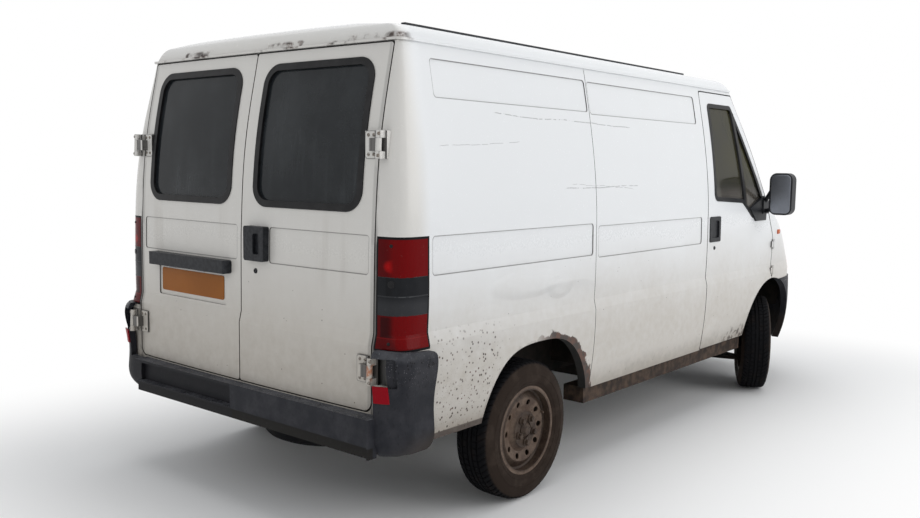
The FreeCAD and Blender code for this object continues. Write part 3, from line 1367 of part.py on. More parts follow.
def front_wheel_boxes():
    piece = box_shell(front(FRONT_BOX_BACK), front(FRONT_BOX_AHEAD), FRONT_BOX_INNER, FRONT_BOX_TOP,
                      FLOOR_Z - FLOOR_THICKNESS)
    keep = box(front(FRONT_DOOR_NOSE) + DOOR_GAP, front(FAR), -FAR, 0, 0, FAR)
    inside = body(FRAME_DEPTH)
    piece = piece.common(inside.fuse(keep.common(body(WALL)))).cut(face_space()[0])
    return Part.makeCompound([piece, mirrored(piece)])


def wheel_boxes():
    return Part.makeCompound([rear_wheel_boxes(), front_wheel_boxes()])


def load_floor():
    """Ribbed load floor, from the rear doors to the partition."""
    floor = body(WALL).common(box(rear(-FAR), front(PILLAR_JOINT), -FAR, FAR, FLOOR_Z - FLOOR_THICKNESS,
                                  FLOOR_Z))
    well = box(rear(REAR_BOX_BACK), rear(REAR_BOX_AHEAD), -FAR, -REAR_BOX_INNER, 0, FAR)
    frame_space = layer(WALL, FRAME_DEPTH)
    doorway = box(rear(MIDDLE_JOINT) - WALL, front(PILLAR_JOINT), 0, FAR, 0, FAR)
    ribs = []
    pitch = 2 * REAR_BOX_INNER / FLOOR_RIBS
    for i in range(FLOOR_RIBS):
        y = -REAR_BOX_INNER + (i + 0.5) * pitch
        ribs.append(box(rear(-FLOOR_RIB_BACK), front(PILLAR_JOINT) - WALL,
                        y - FLOOR_RIB_HALF, y + FLOOR_RIB_HALF, FLOOR_Z - FLOOR_RIB, FLOOR_Z + PROUD))
    cuts = [well, mirrored(well), frame_space.common(corner_joint()), frame_space.common(doorway)] + ribs
    return floor.cut(cuts)


@once
def chassis_frame():
    """Frame rails, front legs, crossmembers, towing eye and jacking pads below the floors."""
    top = FLOOR_Z - FLOOR_THICKNESS
    low = top - RAIL_BEAM_DEPTH
    back = rear(-FLOOR_RIB_BACK - FRAME_LIP)
    turn = front(FRONT_BOX_BACK) - FRAME_DEPTH
    leg_start = turn - 2 * FRAME_DEPTH
    leg_end = front(LEG_REACH)
    middle = (RAIL_BEAM_INNER + RAIL_BEAM_OUTER) / 2
    bolts = []
    for x in (-TOW_BOLT_SPACING / 2, TOW_BOLT_SPACING / 2):
        for y in (-middle, middle):
            foot = vec(rear(TOW_BOLT_X) + x, y, low)
            bolts.append(rod(foot, foot + vec(0, 0, TOW_BOLT_DEPTH), TOW_BOLT_RADIUS))
    rail = box(back, turn, RAIL_BEAM_INNER, RAIL_BEAM_OUTER, low, top)
    leg = box(leg_start, leg_end, LEG_INNER, LEG_OUTER, low, top)
    beams = [rail.cut(bolts), mirrored(rail).cut(bolts), leg, mirrored(leg)]
    pieces = list(beams)
    for x in (back, rear(-LEAF_REACH / 2), rear(LEAF_REACH), front(PARTITION_X), leg_start):
        cross = box(x, x + FRAME_DEPTH, -RAIL_BEAM_INNER, RAIL_BEAM_INNER, low + ARM_THICKNESS, top)
        pieces.append(cross.cut(beams))
    pieces.append(box(leg_end - FRAME_DEPTH, leg_end, -LEG_INNER, LEG_INNER, low, top))
    reach = 2 * TOW_EYE_RADIUS
    eye_z = low - TOW_EYE_DROP
    plate = box(rear(TOW_EYE_X) - reach, rear(TOW_EYE_X) + reach, -middle - TOW_EYE_PLATE / 2,
                -middle + TOW_EYE_PLATE / 2, eye_z - reach, low)
    eye = vec(rear(TOW_EYE_X), 0, eye_z)
    pieces.append(plate.cut(rod(eye, eye - vec(0, FAR, 0), TOW_EYE_RADIUS)))
    for y in (-middle, middle):
        pieces.append(box(-JACK_PAD_HALF, JACK_PAD_HALF, y - JACK_PAD_HALF, y + JACK_PAD_HALF,
                          low - JACK_PAD, low))
    return Part.makeCompound(pieces)


def sills():
    """Dark strips under the body sides, between and behind the wheels."""
    outer = Part.Face(section(LOWER_LINES[0], SILL_SET_IN))
    inner = Part.Face(section(LOWER_LINES[0], SILL_SET_IN + SILL_WIDTH))
    ring = outer.cut(inner).extrude(vec(0, 0, -SILL_HEIGHT))
    pieces = []
    for side in (-1, 1):
        y0, y1 = sorted((0, side * FAR))
        pieces.append(ring.common(box(rear(REAR_ARCH[-1][0]), front(FRONT_ARCH_X - FRONT_ARCH_RADIUS),
                                      y0, y1, 0, FAR)))
    return Part.makeCompound(pieces)


def cab_floor():
    """Cab floor between partition and toe board, resting on the frame."""
    back = front(PILLAR_JOINT)
    floor = body(FRAME_DEPTH).common(box(back, front(FIREWALL_X), -FAR, FAR, FLOOR_Z - FLOOR_THICKNESS,
                                         FLOOR_Z))
    well = box(front(FRONT_BOX_BACK), front(FAR), -FAR, -FRONT_BOX_INNER, 0, FAR)
    return floor.cut([well, mirrored(well)]).fuse([firewall(), cowl_panel()])


def firewall():
    """Upright panel between cab and engine."""
    wall = body(WALL).common(box(front(FIREWALL_X), front(FIREWALL_X) + FIREWALL, -FAR, FAR,
                                 FLOOR_Z - FLOOR_THICKNESS, COWL_Z - FRAME_DEPTH / 4))
    well = box(front(-FAR), front(FAR), -FAR, -FRONT_BOX_INNER, 0, FRONT_BOX_TOP)
    return wall.cut([well, mirrored(well), cab_frame(), cowl_panel()])


def partition():
    """Full-height wall between cab and load space."""
    slab = box(front(PARTITION_X), front(PARTITION_X) + PARTITION, -FAR, FAR, FLOOR_Z, GUTTER_Z)
    head = box(front(PARTITION_X), front(PARTITION_X) + PARTITION, -FAR, FAR, GUTTER_Z, FAR)
    wall = body(FRAME_DEPTH).common(slab)
    return wall.fuse(roof_solid(ROOF_WALL).common(head))


def dashboard():
    points = [(front(x), z) for x, z in DASH_LINES]
    radii = (DASH_RADIUS, DASH_RADIUS, 2 * DASH_RADIUS, DASH_RADIUS, 0.0, 0.0)
    return prism("y", points, radii, -DASH_HALF, DASH_HALF)


def seat(middle, width):
    """Base, cushion and raked backrest of one seat."""
    base = box(front(SEAT_BACK_X), front(SEAT_FRONT_X) - SEAT_RADIUS, middle - width / 2 + SEAT_RADIUS,
               middle + width / 2 - SEAT_RADIUS, FLOOR_Z, SEAT_BASE_TOP)
    cushion = rectangle("y", front(SEAT_BACK_X), front(SEAT_FRONT_X), SEAT_BASE_TOP, SEAT_BASE_TOP + CUSHION,
                        SEAT_RADIUS, middle - width / 2, middle + width / 2)
    top = SEAT_BASE_TOP + CUSHION
    lean = BACKREST_RAKE
    outline = ((front(SEAT_BACK_X) + lean, top), (front(SEAT_BACK_X), top + BACKREST_HEIGHT),
               (front(SEAT_BACK_X) + BACKREST, top + BACKREST_HEIGHT),
               (front(SEAT_BACK_X) + lean + BACKREST, top))
    back = prism("y", outline, SEAT_RADIUS, middle - width / 2, middle + width / 2)
    return base, cushion, back


def driver_seat():
    base, cushion, back = seat(SEAT_Y, SEAT_WIDTH)
    return base.fuse([cushion, back])


def bench_seat():
    base, cushion, back = seat(BENCH_Y, BENCH_WIDTH)
    return base.fuse([cushion, back])


def steering_wheel():
    """Rim, spokes, hub and column on the right-hand drive side."""
    centre = vec(front(STEERING_X), SEAT_Y, STEERING_Z)
    axis = vec(math.cos(math.radians(STEERING_RAKE)), 0, -math.sin(math.radians(STEERING_RAKE)))
    grip = Part.makeTorus(STEERING_RADIUS, STEERING_GRIP, centre, axis)
    hub = Part.makeCylinder(STEERING_HUB, 2 * STEERING_GRIP, centre, axis)
    pieces = [hub, rod(centre, centre + axis * STEERING_COLUMN, STEERING_COLUMN_RADIUS)]
    side = vec(0, 1, 0)
    down = axis.cross(side)
    for angle in STEERING_SPOKES:
        turn = math.radians(angle)
        end = centre + (side * math.cos(turn) + down * math.sin(turn)) * STEERING_RADIUS
        pieces.append(rod(centre + axis * STEERING_GRIP / 2, end, STEERING_SPOKE_RADIUS))
    wheel = grip.fuse(pieces)
    return wheel.cut(dashboard())


def engine_block():
    return box(front(ENGINE_BACK), front(ENGINE_AHEAD), ENGINE_RIGHT, ENGINE_LEFT, ENGINE_LOW, ENGINE_TOP)


def fuel_tank():
    low = TANK_LOW
    top = FLOOR_Z - FLOOR_THICKNESS
    tank = rectangle("x", -RAIL_BEAM_INNER, -RAIL_BEAM_INNER / 4, low, top,
                     (TANK_RADIUS, TANK_RADIUS, 0.0, 0.0), front(TANK_BACK), front(TANK_AHEAD))
    return tank.cut(chassis_frame())


def exhaust():
    """Pipe and silencer, hung from the floor on two straps."""
    y = RAIL_BEAM_INNER / 2
    back = rear(-LEAF_REACH)
    can_back = rear(LEAF_REACH) + 2 * FRAME_DEPTH
    pieces = [rod(vec(can_back, y, EXHAUST_Z), vec(can_back + SILENCER_LENGTH, y, EXHAUST_Z),
                  SILENCER_RADIUS)]
    for x in (back + FRAME_DEPTH, can_back + SILENCER_LENGTH / 2):
        pieces.append(rod(vec(x, y, EXHAUST_Z), vec(x, y, FLOOR_Z - FLOOR_THICKNESS), HINGE_BARREL))
    pipe = rod(vec(front(-FRAME_DEPTH), y, EXHAUST_Z), vec(back, y, EXHAUST_Z), EXHAUST_RADIUS)
    return pipe.fuse(pieces)


def spare_wheel():
    """Spare wheel lying under the tail, hung from the floor."""
    half = RIM_WALL / 2
    plate = revolved(((-half, 0), (-half, BEAD_RADIUS), (half, BEAD_RADIUS), (half, 0)))
    inner = BEAD_RADIUS - RIM_WALL
    outer = BEAD_RADIUS + RIM_WALL
    hoop = revolved(((-BEAD_HALF, inner), (-BEAD_HALF, outer), (BEAD_HALF, outer), (BEAD_HALF, inner)))
    wheel = tyre().fuse([plate, hoop])
    wheel.rotate(vec(0, 0, 0), vec(1, 0, 0), -90)
    wheel.translate(vec(rear(SPARE_X), SPARE_Y, SPARE_Z))
    hanger = rod(vec(rear(SPARE_X), SPARE_Y, SPARE_Z),
                 vec(rear(SPARE_X), SPARE_Y, FLOOR_Z - FLOOR_THICKNESS), HINGE_BARREL)
    return wheel.fuse(hanger)


def mirror_right():
    """Door mirror: rounded housing on two arms."""
    inner = MIRROR_INNER
    outer = MIRROR_OUTER
    head = rectangle("x", -outer, -inner, MIRROR_BOTTOM, MIRROR_TOP, 4 * HINGE_BARREL, front(MIRROR_X),
                     front(MIRROR_X) + MIRROR_DEPTH)
    pieces = [head]
    for z in (MIRROR_BOTTOM + WALL, MIRROR_TOP - WALL):
        start = vec(front(MIRROR_X) + MIRROR_DEPTH / 2, -inner - WALL, z)
        end = vec(front(MIRROR_FOOT_X), -MIRROR_FOOT_Y, MIRROR_FOOT_Z + (z - MIRROR_BOTTOM) / 3)
        pieces.append(rod(start, end, MIRROR_ARM))
    foot = box(front(MIRROR_FOOT_X) - WALL, front(MIRROR_FOOT_X) + WALL, -MIRROR_FOOT_Y - MIRROR_ARM,
               -MIRROR_FOOT_Y + WALL, MIRROR_FOOT_Z, MIRROR_FOOT_Z + 2 * WALL)
    pieces.append(foot)
    whole = pieces[0].fuse(pieces[1:])
    return whole.cut(body(0.0))


NODES = {
    "rear_frame": rear_frame,
    "side_panel_right": side_panel_right,
    "side_panel_left": side_panel_left,
    "sliding_door": sliding_door,
    "roof_panel": roof_panel,
    "roof_rails": roof_rails,
    "cab_frame": cab_frame,
    "windscreen": windscreen,
    "front_wings": lambda: both(front_wing_right()),
    "bonnet": bonnet,
    "headlamps": headlamps,
    "grille": grille,
    "front_bumper": front_bumper,
    "rear_bumper": rear_bumper,
    "tail_lamps": lambda: Part.makeCompound([tail_lamps(), rear_reflectors()]),
    "pillar_hinge_leaves": pillar_leaves,
    "rear_door_right": lambda: rear_door_right().fuse(door_leaves()),
    "rear_door_left": lambda: rear_door_left().fuse(mirrored(door_leaves())),
    "rear_rubber_right": rear_rubber,
    "rear_rubber_left": lambda: mirrored(rear_rubber()),
    "rear_glass_right": rear_glass,
    "rear_glass_left": lambda: mirrored(rear_glass()),
    "rear_handle": rear_handle,
    "lamp_bar": lamp_bar,
    "rear_plate": rear_plate,
    "front_door_right": front_door_right,
    "front_door_left": lambda: mirrored(front_door_right()),
    "front_glass_right": front_door_glass,
    "front_glass_left": lambda: mirrored(front_door_glass()),
    "front_handle_right": front_door_handle,
    "front_handle_left": lambda: mirrored(front_door_handle()),
    "mirror_right": mirror_right,
    "mirror_left": lambda: mirrored(mirror_right()),
    "sills": sills,
    "load_floor": load_floor,
    "wheel_boxes": wheel_boxes,
    "cab_floor": cab_floor,
    "partition": partition,
    "chassis_frame": chassis_frame,
    "front_suspension": front_suspension,
    "rear_axle": rear_axle,
    "rear_springs": leaf_springs,
    "knuckle_right": lambda: steered(wheel_at(knuckle(), FRONT_AXLE_X, -1), -1),
    "knuckle_left": lambda: steered(wheel_at(knuckle(), FRONT_AXLE_X, 1), 1),
    "dashboard": lambda: dashboard().fuse(steering_wheel()),
    "driver_seat": driver_seat,
    "bench_seat": bench_seat,
    "engine_block": engine_block,
    "fuel_tank": fuel_tank,
    "exhaust": exhaust,
    "spare_wheel": spare_wheel,
}
WHEELS = (("front_right", FRONT_AXLE_X, -1), ("front_left", FRONT_AXLE_X, 1),
          ("rear_right", REAR_AXLE_X, -1), ("rear_left", REAR_AXLE_X, 1))


def export(name, shape):
    """Write one node and say how many solids it holds."""
    shape.exportStep(os.path.join("parts", name + ".step"))
    print(name, "solids", len(shape.Solids), "faces", len(shape.Faces))


os.makedirs("parts", exist_ok=True)
for name, make in NODES.items():
    export(name, make())
for place_name, x, side in WHEELS:
    for piece, shape in (("tyre", tyre()), ("rim", rim())):
        placed = wheel_at(shape, x, side)
        if x == FRONT_AXLE_X:
            placed = steered(placed, side)
        export(piece + "_" + place_name, placed)
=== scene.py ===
# %% [markdown]
# # A used white panel van
# The solids of the van come from its CAD model and stay where they are. This lesson dresses them: it gives
# each one a finish, cuts tyre treads, and adds the small things that a maker buys in, such as screws,
# wipers and lenses.

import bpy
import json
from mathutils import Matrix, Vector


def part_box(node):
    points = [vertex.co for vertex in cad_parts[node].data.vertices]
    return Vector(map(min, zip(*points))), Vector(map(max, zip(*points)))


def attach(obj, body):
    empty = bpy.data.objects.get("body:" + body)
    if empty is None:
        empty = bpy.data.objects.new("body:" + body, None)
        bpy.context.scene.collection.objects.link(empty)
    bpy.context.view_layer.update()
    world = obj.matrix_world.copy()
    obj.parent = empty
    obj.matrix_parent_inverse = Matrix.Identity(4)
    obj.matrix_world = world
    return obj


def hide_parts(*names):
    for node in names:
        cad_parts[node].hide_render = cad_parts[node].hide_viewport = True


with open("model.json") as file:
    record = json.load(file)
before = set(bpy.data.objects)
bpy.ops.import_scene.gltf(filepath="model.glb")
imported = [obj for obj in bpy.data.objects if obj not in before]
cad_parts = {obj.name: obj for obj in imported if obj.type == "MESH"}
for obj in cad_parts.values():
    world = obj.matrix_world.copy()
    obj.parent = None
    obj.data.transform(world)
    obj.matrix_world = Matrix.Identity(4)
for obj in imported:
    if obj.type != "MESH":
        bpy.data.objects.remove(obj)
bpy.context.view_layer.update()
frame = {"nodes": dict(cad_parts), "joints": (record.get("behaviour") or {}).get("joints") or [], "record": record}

import json
import math

import bmesh
import bpy
from mathutils import Matrix, Vector
from mathutils.bvhtree import BVHTree

nodes = frame["nodes"]

# %% [markdown]
# ## Where things are
# A van is laid out from its axles, so the rear axle line is read from the rear wheel's solid, and the front
# one stands a wheelbase ahead of it. Places along the van are then said from an axle. A detail that sits on a
# panel finds the panel by a ray, so it touches it from every side.

# %% Axles, and places along the van


def middle(node):
    """Centre of a CAD solid's box."""
    low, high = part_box(node)
    return (low + high) / 2


WHEELBASE = 2.85
REAR_AXLE = middle("tyre_rear_right").x
TYRE_RADIUS = (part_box("tyre_rear_right")[1].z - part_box("tyre_rear_right")[0].z) / 2


def rear(x):
    """Place along the van, in metres ahead of the rear axle."""
    return REAR_AXLE + x


def front(x):
    """Place along the van, in metres ahead of the front axle."""
    return REAR_AXLE + WHEELBASE + x


def touch(node, start, way):
    """Where a straight line first meets a solid, and the way that its surface faces there."""
    mesh = nodes[node].data
    tree = BVHTree.FromPolygons([v.co for v in mesh.vertices], [p.vertices for p in mesh.polygons])
    place, facing, face, distance = tree.ray_cast(Vector(start), Vector(way))
    return place, facing


def in_scene(name, data):
    """New object that holds a mesh, a lamp or a camera, put in the scene."""
    made = bpy.data.objects.new(name, data)
    bpy.context.scene.collection.objects.link(made)
    return made


print("rear axle at", round(REAR_AXLE, 4), "tyre radius", round(TYRE_RADIUS, 4))

# %% [markdown]
# ## Camera
# The photographer stood behind the van's right rear corner, at eye height, and held the camera a little off
# level. A camera could be aimed at the van by a constraint, but its four measured values give the same
# frame exactly.

# %% Camera
CAMERA_PLACE = Vector((-4.7789, -3.3597, 1.5635))
CAMERA_TURN = math.radians(39.607)
CAMERA_TILT = math.radians(-5.973)
CAMERA_ROLL = math.radians(0.796)
IMAGE_WIDTH = 920.0
FOCAL_PIXELS = 917.45
SENSOR = 36.0

ahead = Vector((math.cos(CAMERA_TILT) * math.cos(CAMERA_TURN), math.cos(CAMERA_TILT) * math.sin(CAMERA_TURN),
                math.sin(CAMERA_TILT)))
level_right = Vector((math.sin(CAMERA_TURN), -math.cos(CAMERA_TURN), 0.0))
level_up = level_right.cross(ahead)
right = math.cos(CAMERA_ROLL) * level_right + math.sin(CAMERA_ROLL) * level_up
up = math.cos(CAMERA_ROLL) * level_up - math.sin(CAMERA_ROLL) * level_right

camera = in_scene("camera", bpy.data.cameras.new("camera"))
camera.data.sensor_width = SENSOR
camera.data.lens = SENSOR * FOCAL_PIXELS / IMAGE_WIDTH
camera.matrix_world = Matrix.Translation(CAMERA_PLACE) @ Matrix((right, up, -ahead)).transposed().to_4x4()
bpy.context.scene.camera = camera
bpy.context.scene.view_settings.view_transform = "Standard"
print("lens", round(camera.data.lens, 2), "mm")

# %% [markdown]
# ## Shader sums
# A worn finish is a sum of masks: dirt that grows downwards, rust near an edge, specks here and there. Such
# sums are hard to read as a web of nodes. A small class lets Python's own signs add the nodes, so a mask
# reads as a formula.

# %% A shader value for sums


class Wire:
    """A shader value that Python sums can use. Each sum adds its own node to the finish."""

    def __init__(self, finish, socket):
        self.finish = finish
        self.socket = socket

    def worked(self, operation, *values):
        return self.finish.node("ShaderNodeMath", {"operation": operation}, dict(enumerate(values)))

    def __add__(self, other):
        return self.worked("ADD", self, other)

    def __sub__(self, other):
        return self.worked("SUBTRACT", self, other)

    def __rsub__(self, other):
        return self.worked("SUBTRACT", other, self)

    def __mul__(self, other):
        return self.worked("MULTIPLY", self, other)

    def __truediv__(self, other):
        return self.worked("DIVIDE", self, other)

    def __pow__(self, other):
        return self.worked("POWER", self, other)

    def __abs__(self):
        return self.worked("ABSOLUTE", self)

    __radd__ = __add__
    __rmul__ = __mul__

    def least(self, other):
        return self.worked("MINIMUM", self, other)

    def most(self, other):
        return self.worked("MAXIMUM", self, other)

    def wave(self, length):
        """Even ripple from -1 to 1 with one crest per length."""
        return self.worked("SINE", self * (2 * math.pi / length))

    def rise(self, low, high):
        """0 before low, 1 past high and smooth between them. low may be the larger."""
        values = {"Value": self, "From Min": low, "From Max": high}
        return self.finish.node("ShaderNodeMapRange", {"interpolation_type": "SMOOTHSTEP"}, values)

    def band(self, low, high, soft):
        """1 between low and high, fading to 0 over soft on both sides."""
        return self.rise(low - soft, low + soft) * self.rise(high + soft, high - soft)


print("shader sums ready")


# %% A finish


def rgb(red, green, blue):
    """Colour in linear light, with full cover."""
    return (red, green, blue, 1.0)


class Finish:
    """A material made of nodes, built up around one Principled shader."""

    def __init__(self, name, **fixed):
        self.material = bpy.data.materials.new(name)
        self.material.use_nodes = True
        self.tree = self.material.node_tree
        self.tree.nodes.clear()
        self.shader = self.tree.nodes.new("ShaderNodeBsdfPrincipled")
        self.output = self.tree.nodes.new("ShaderNodeOutputMaterial")
        self.tree.links.new(self.shader.outputs[0], self.output.inputs[0])
        for socket, value in fixed.items():
            self.shader.inputs[socket.replace("_", " ")].default_value = value

    def node(self, kind, settings, values, result=0):
        """Adds one node of any type, sets it up, joins its inputs and returns one of its outputs."""
        added = self.tree.nodes.new(kind)
        for name, value in settings.items():
            setattr(added, name, value)
        for name, value in values.items():
            if isinstance(value, Wire):
                self.tree.links.new(value.socket, added.inputs[name])
            else:
                added.inputs[name].default_value = value
        return Wire(self, added.outputs[result])

    def place(self):
        """The point on the piece, in its own frame. For a CAD solid that is the van's frame at rest."""
        return self.node("ShaderNodeTexCoord", {}, {}, "Object")

    def facing(self):
        """The way that the surface faces, in the piece's own frame, as three numbers."""
        return self.parts(self.node("ShaderNodeTexCoord", {}, {}, "Normal"))

    def parts(self, vector):
        """The three numbers of a vector."""
        return [self.node("ShaderNodeSeparateXYZ", {}, {0: vector}, i) for i in range(3)]

    def moved(self, stretch, shift):
        """The point on the piece, stretched and shifted, as the input of a pattern."""
        values = {"Vector": self.place(), "Scale": stretch, "Location": (shift, shift, shift)}
        return self.node("ShaderNodeMapping", {}, values)

    def cloud(self, scale, stretch=(1.0, 1.0, 1.0), detail=4.0, shift=0.0):
        """Cloudy noise from 0 to 1, with about scale lumps to the metre."""
        values = {"Vector": self.moved(stretch, shift), "Scale": scale, "Detail": detail, "Roughness": 0.6}
        return self.node("ShaderNodeTexNoise", {}, values, "Fac")

    def spots(self, scale, size, stretch=(1.0, 1.0, 1.0), shift=0.0):
        """Round spots, 1 inside and 0 outside, with the size as a share of their spacing."""
        values = {"Vector": self.moved(stretch, shift), "Scale": scale}
        away = self.node("ShaderNodeTexVoronoi", {}, values, "Distance")
        return away.rise(size, size * 0.6)

    def mix(self, mask, first, second):
        """Colour that goes from first to second as the mask rises."""
        return self.node("ShaderNodeMix", {"data_type": "RGBA"}, {0: mask, 6: first, 7: second}, 2)

    def feed(self, socket, wire):
        """Joins a changing value to one of the shader's own sockets."""
        self.tree.links.new(wire.socket, self.shader.inputs[socket])

    def bump(self, height, strength, distance):
        """Small relief, from a height."""
        values = {"Height": height, "Strength": strength, "Distance": distance}
        self.feed("Normal", self.node("ShaderNodeBump", {}, values))


print("finish helper ready")

# %% [markdown]
# ## White paint with ten years on it
# The body is gloss white, cool and clean above, with a warm film on the doors and road dirt below. The doors
# and the lower side are also painted darker as shade. It has rust where stones hit it: behind the rear wheel,
# round the arch, under the doors and along the roof's rear edge. Shut lines hold dirt and are painted darker as
# shade; the edges of the pressed fields and the hinge leaves carry thin lines of painted shade, and the hinge
# pocket is painted near-black as shade. A picture could be painted on, but masks made from the place on the van
# stay sharp at any distance.

# %% Colours of the body
CLEAN_WHITE = rgb(0.800, 0.812, 0.825)
DOOR_FILM_AND_SHADE = rgb(0.655, 0.632, 0.592)
LOW_FILM_AND_SHADE = rgb(0.470, 0.430, 0.375)
ROAD_DIRT = rgb(0.200, 0.165, 0.125)
SHUT_LINE_DIRT_AND_SHADE = rgb(0.035, 0.032, 0.030)
RUST = rgb(0.080, 0.026, 0.011)
DARK_RUST = rgb(0.020, 0.010, 0.007)
UNDERSEAL = rgb(0.004, 0.004, 0.003)
PRESSED_EDGE_SHADE = rgb(0.100, 0.094, 0.088)
FOOT_GRIME = rgb(0.050, 0.034, 0.026)
HINGE_RUST = rgb(0.420, 0.150, 0.060)
SCRATCH = rgb(0.300, 0.300, 0.310)
print("clean white", CLEAN_WHITE[:3], "rust", RUST[:3])

# %% Masks of the body
ARCH_CENTRE = 0.091
ARCH_BASE = 0.390
ARCH_REACH = 0.433
ARCH_RISE = 0.355
DOOR_PLANE = rear(-0.70)
SIDE_SKIN = 0.80
REAR_GAP = 0.835
GUTTER_HEIGHT = 2.035
FOOT_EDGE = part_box("side_panel_right")[0].z + 0.024
POCKET_HALF = 0.056
POCKET_START = 0.870
POCKET_END = 0.966
HINGE_PIN = Vector((rear(-0.940), -0.850, 0.747))


def line_mark(finish, x, z, start, end, thickness, bend, shift):
    """Thin broken scratch between two places on the side, given as (x, z)."""
    share = (x - start[0]) / (end[0] - start[0])
    line = start[1] + (end[1] - start[1]) * share + bend * (finish.cloud(3.0, shift=shift) - 0.5)
    near = abs(z - line).rise(thickness, thickness * 0.4)
    broken = finish.cloud(30.0, shift=shift).rise(0.38, 0.50)
    return near * broken * share.band(0.0, 1.0, 0.02)


def blob(x, z, centre, reach):
    """Soft round mask about a place on the side, 1 at its centre."""
    across = (x - centre[0]) / reach[0]
    above = (z - centre[1]) / reach[1]
    return (across * across + above * above).rise(1.0, 0.0)


SCRATCHES = (
    ((rear(-0.243), 1.781), (rear(0.925), 1.761), 0.0026, 0.03, 1.0),
    ((rear(0.251), 1.452), (rear(0.967), 1.456), 0.0026, 0.03, 2.0),
    ((rear(-0.628), 1.630), (rear(-0.084), 1.660), 0.0014, 0.02, 3.0),
    ((rear(0.330), 1.470), (rear(0.930), 1.440), 0.0014, 0.05, 4.0),
)
DENTS = (
    ((rear(-0.05), 1.020), (0.30, 0.07), 1.0),
    ((rear(0.30), 0.930), (0.34, 0.08), -1.0),
    ((rear(0.22), 0.985), (0.12, 0.06), 1.0),
    ((rear(1.94), 0.520), (0.16, 0.11), 1.0),
    ((rear(-0.35), 0.860), (0.20, 0.10), 0.7),
)

# %% Pressed fields and hinge leaves
DOOR_FIELDS = ((-0.792, -0.197, 1.120, 1.275), (0.030, 0.792, 1.120, 1.275))
SIDE_FIELDS = (
    (rear(-0.631), rear(0.525), 1.825, 1.980),
    (rear(0.550), rear(1.745), 1.815, 1.975),
    (rear(-0.700), rear(0.510), 1.115, 1.272),
    (rear(0.562), rear(1.750), 1.100, 1.258),
)
HINGE_LEAF = (0.753, 0.817, 0.054)
HINGE_LEAF_HEIGHTS = (0.747, 1.630)
FIELD_CORNER = 0.014
EDGE_WIDTH = 0.0030


def field_edge_shade(across, up, field, zone):
    """Thin line of painted shade round a pressed field, given as (start, end, foot, head), inside a zone."""
    start, end, foot, head = field
    past_end = abs(across - (start + end) / 2) - ((end - start) / 2 - FIELD_CORNER)
    past_head = abs(up - (foot + head) / 2) - ((head - foot) / 2 - FIELD_CORNER)
    outer_end = past_end.most(0.0)
    outer_head = past_head.most(0.0)
    away = (outer_end * outer_end + outer_head * outer_head) ** 0.5 + past_end.most(past_head).least(0.0)
    return abs(away - FIELD_CORNER).rise(EDGE_WIDTH, EDGE_WIDTH * 0.4) * zone


print("pressed fields:", len(DOOR_FIELDS) + len(SIDE_FIELDS))

# %% The paint


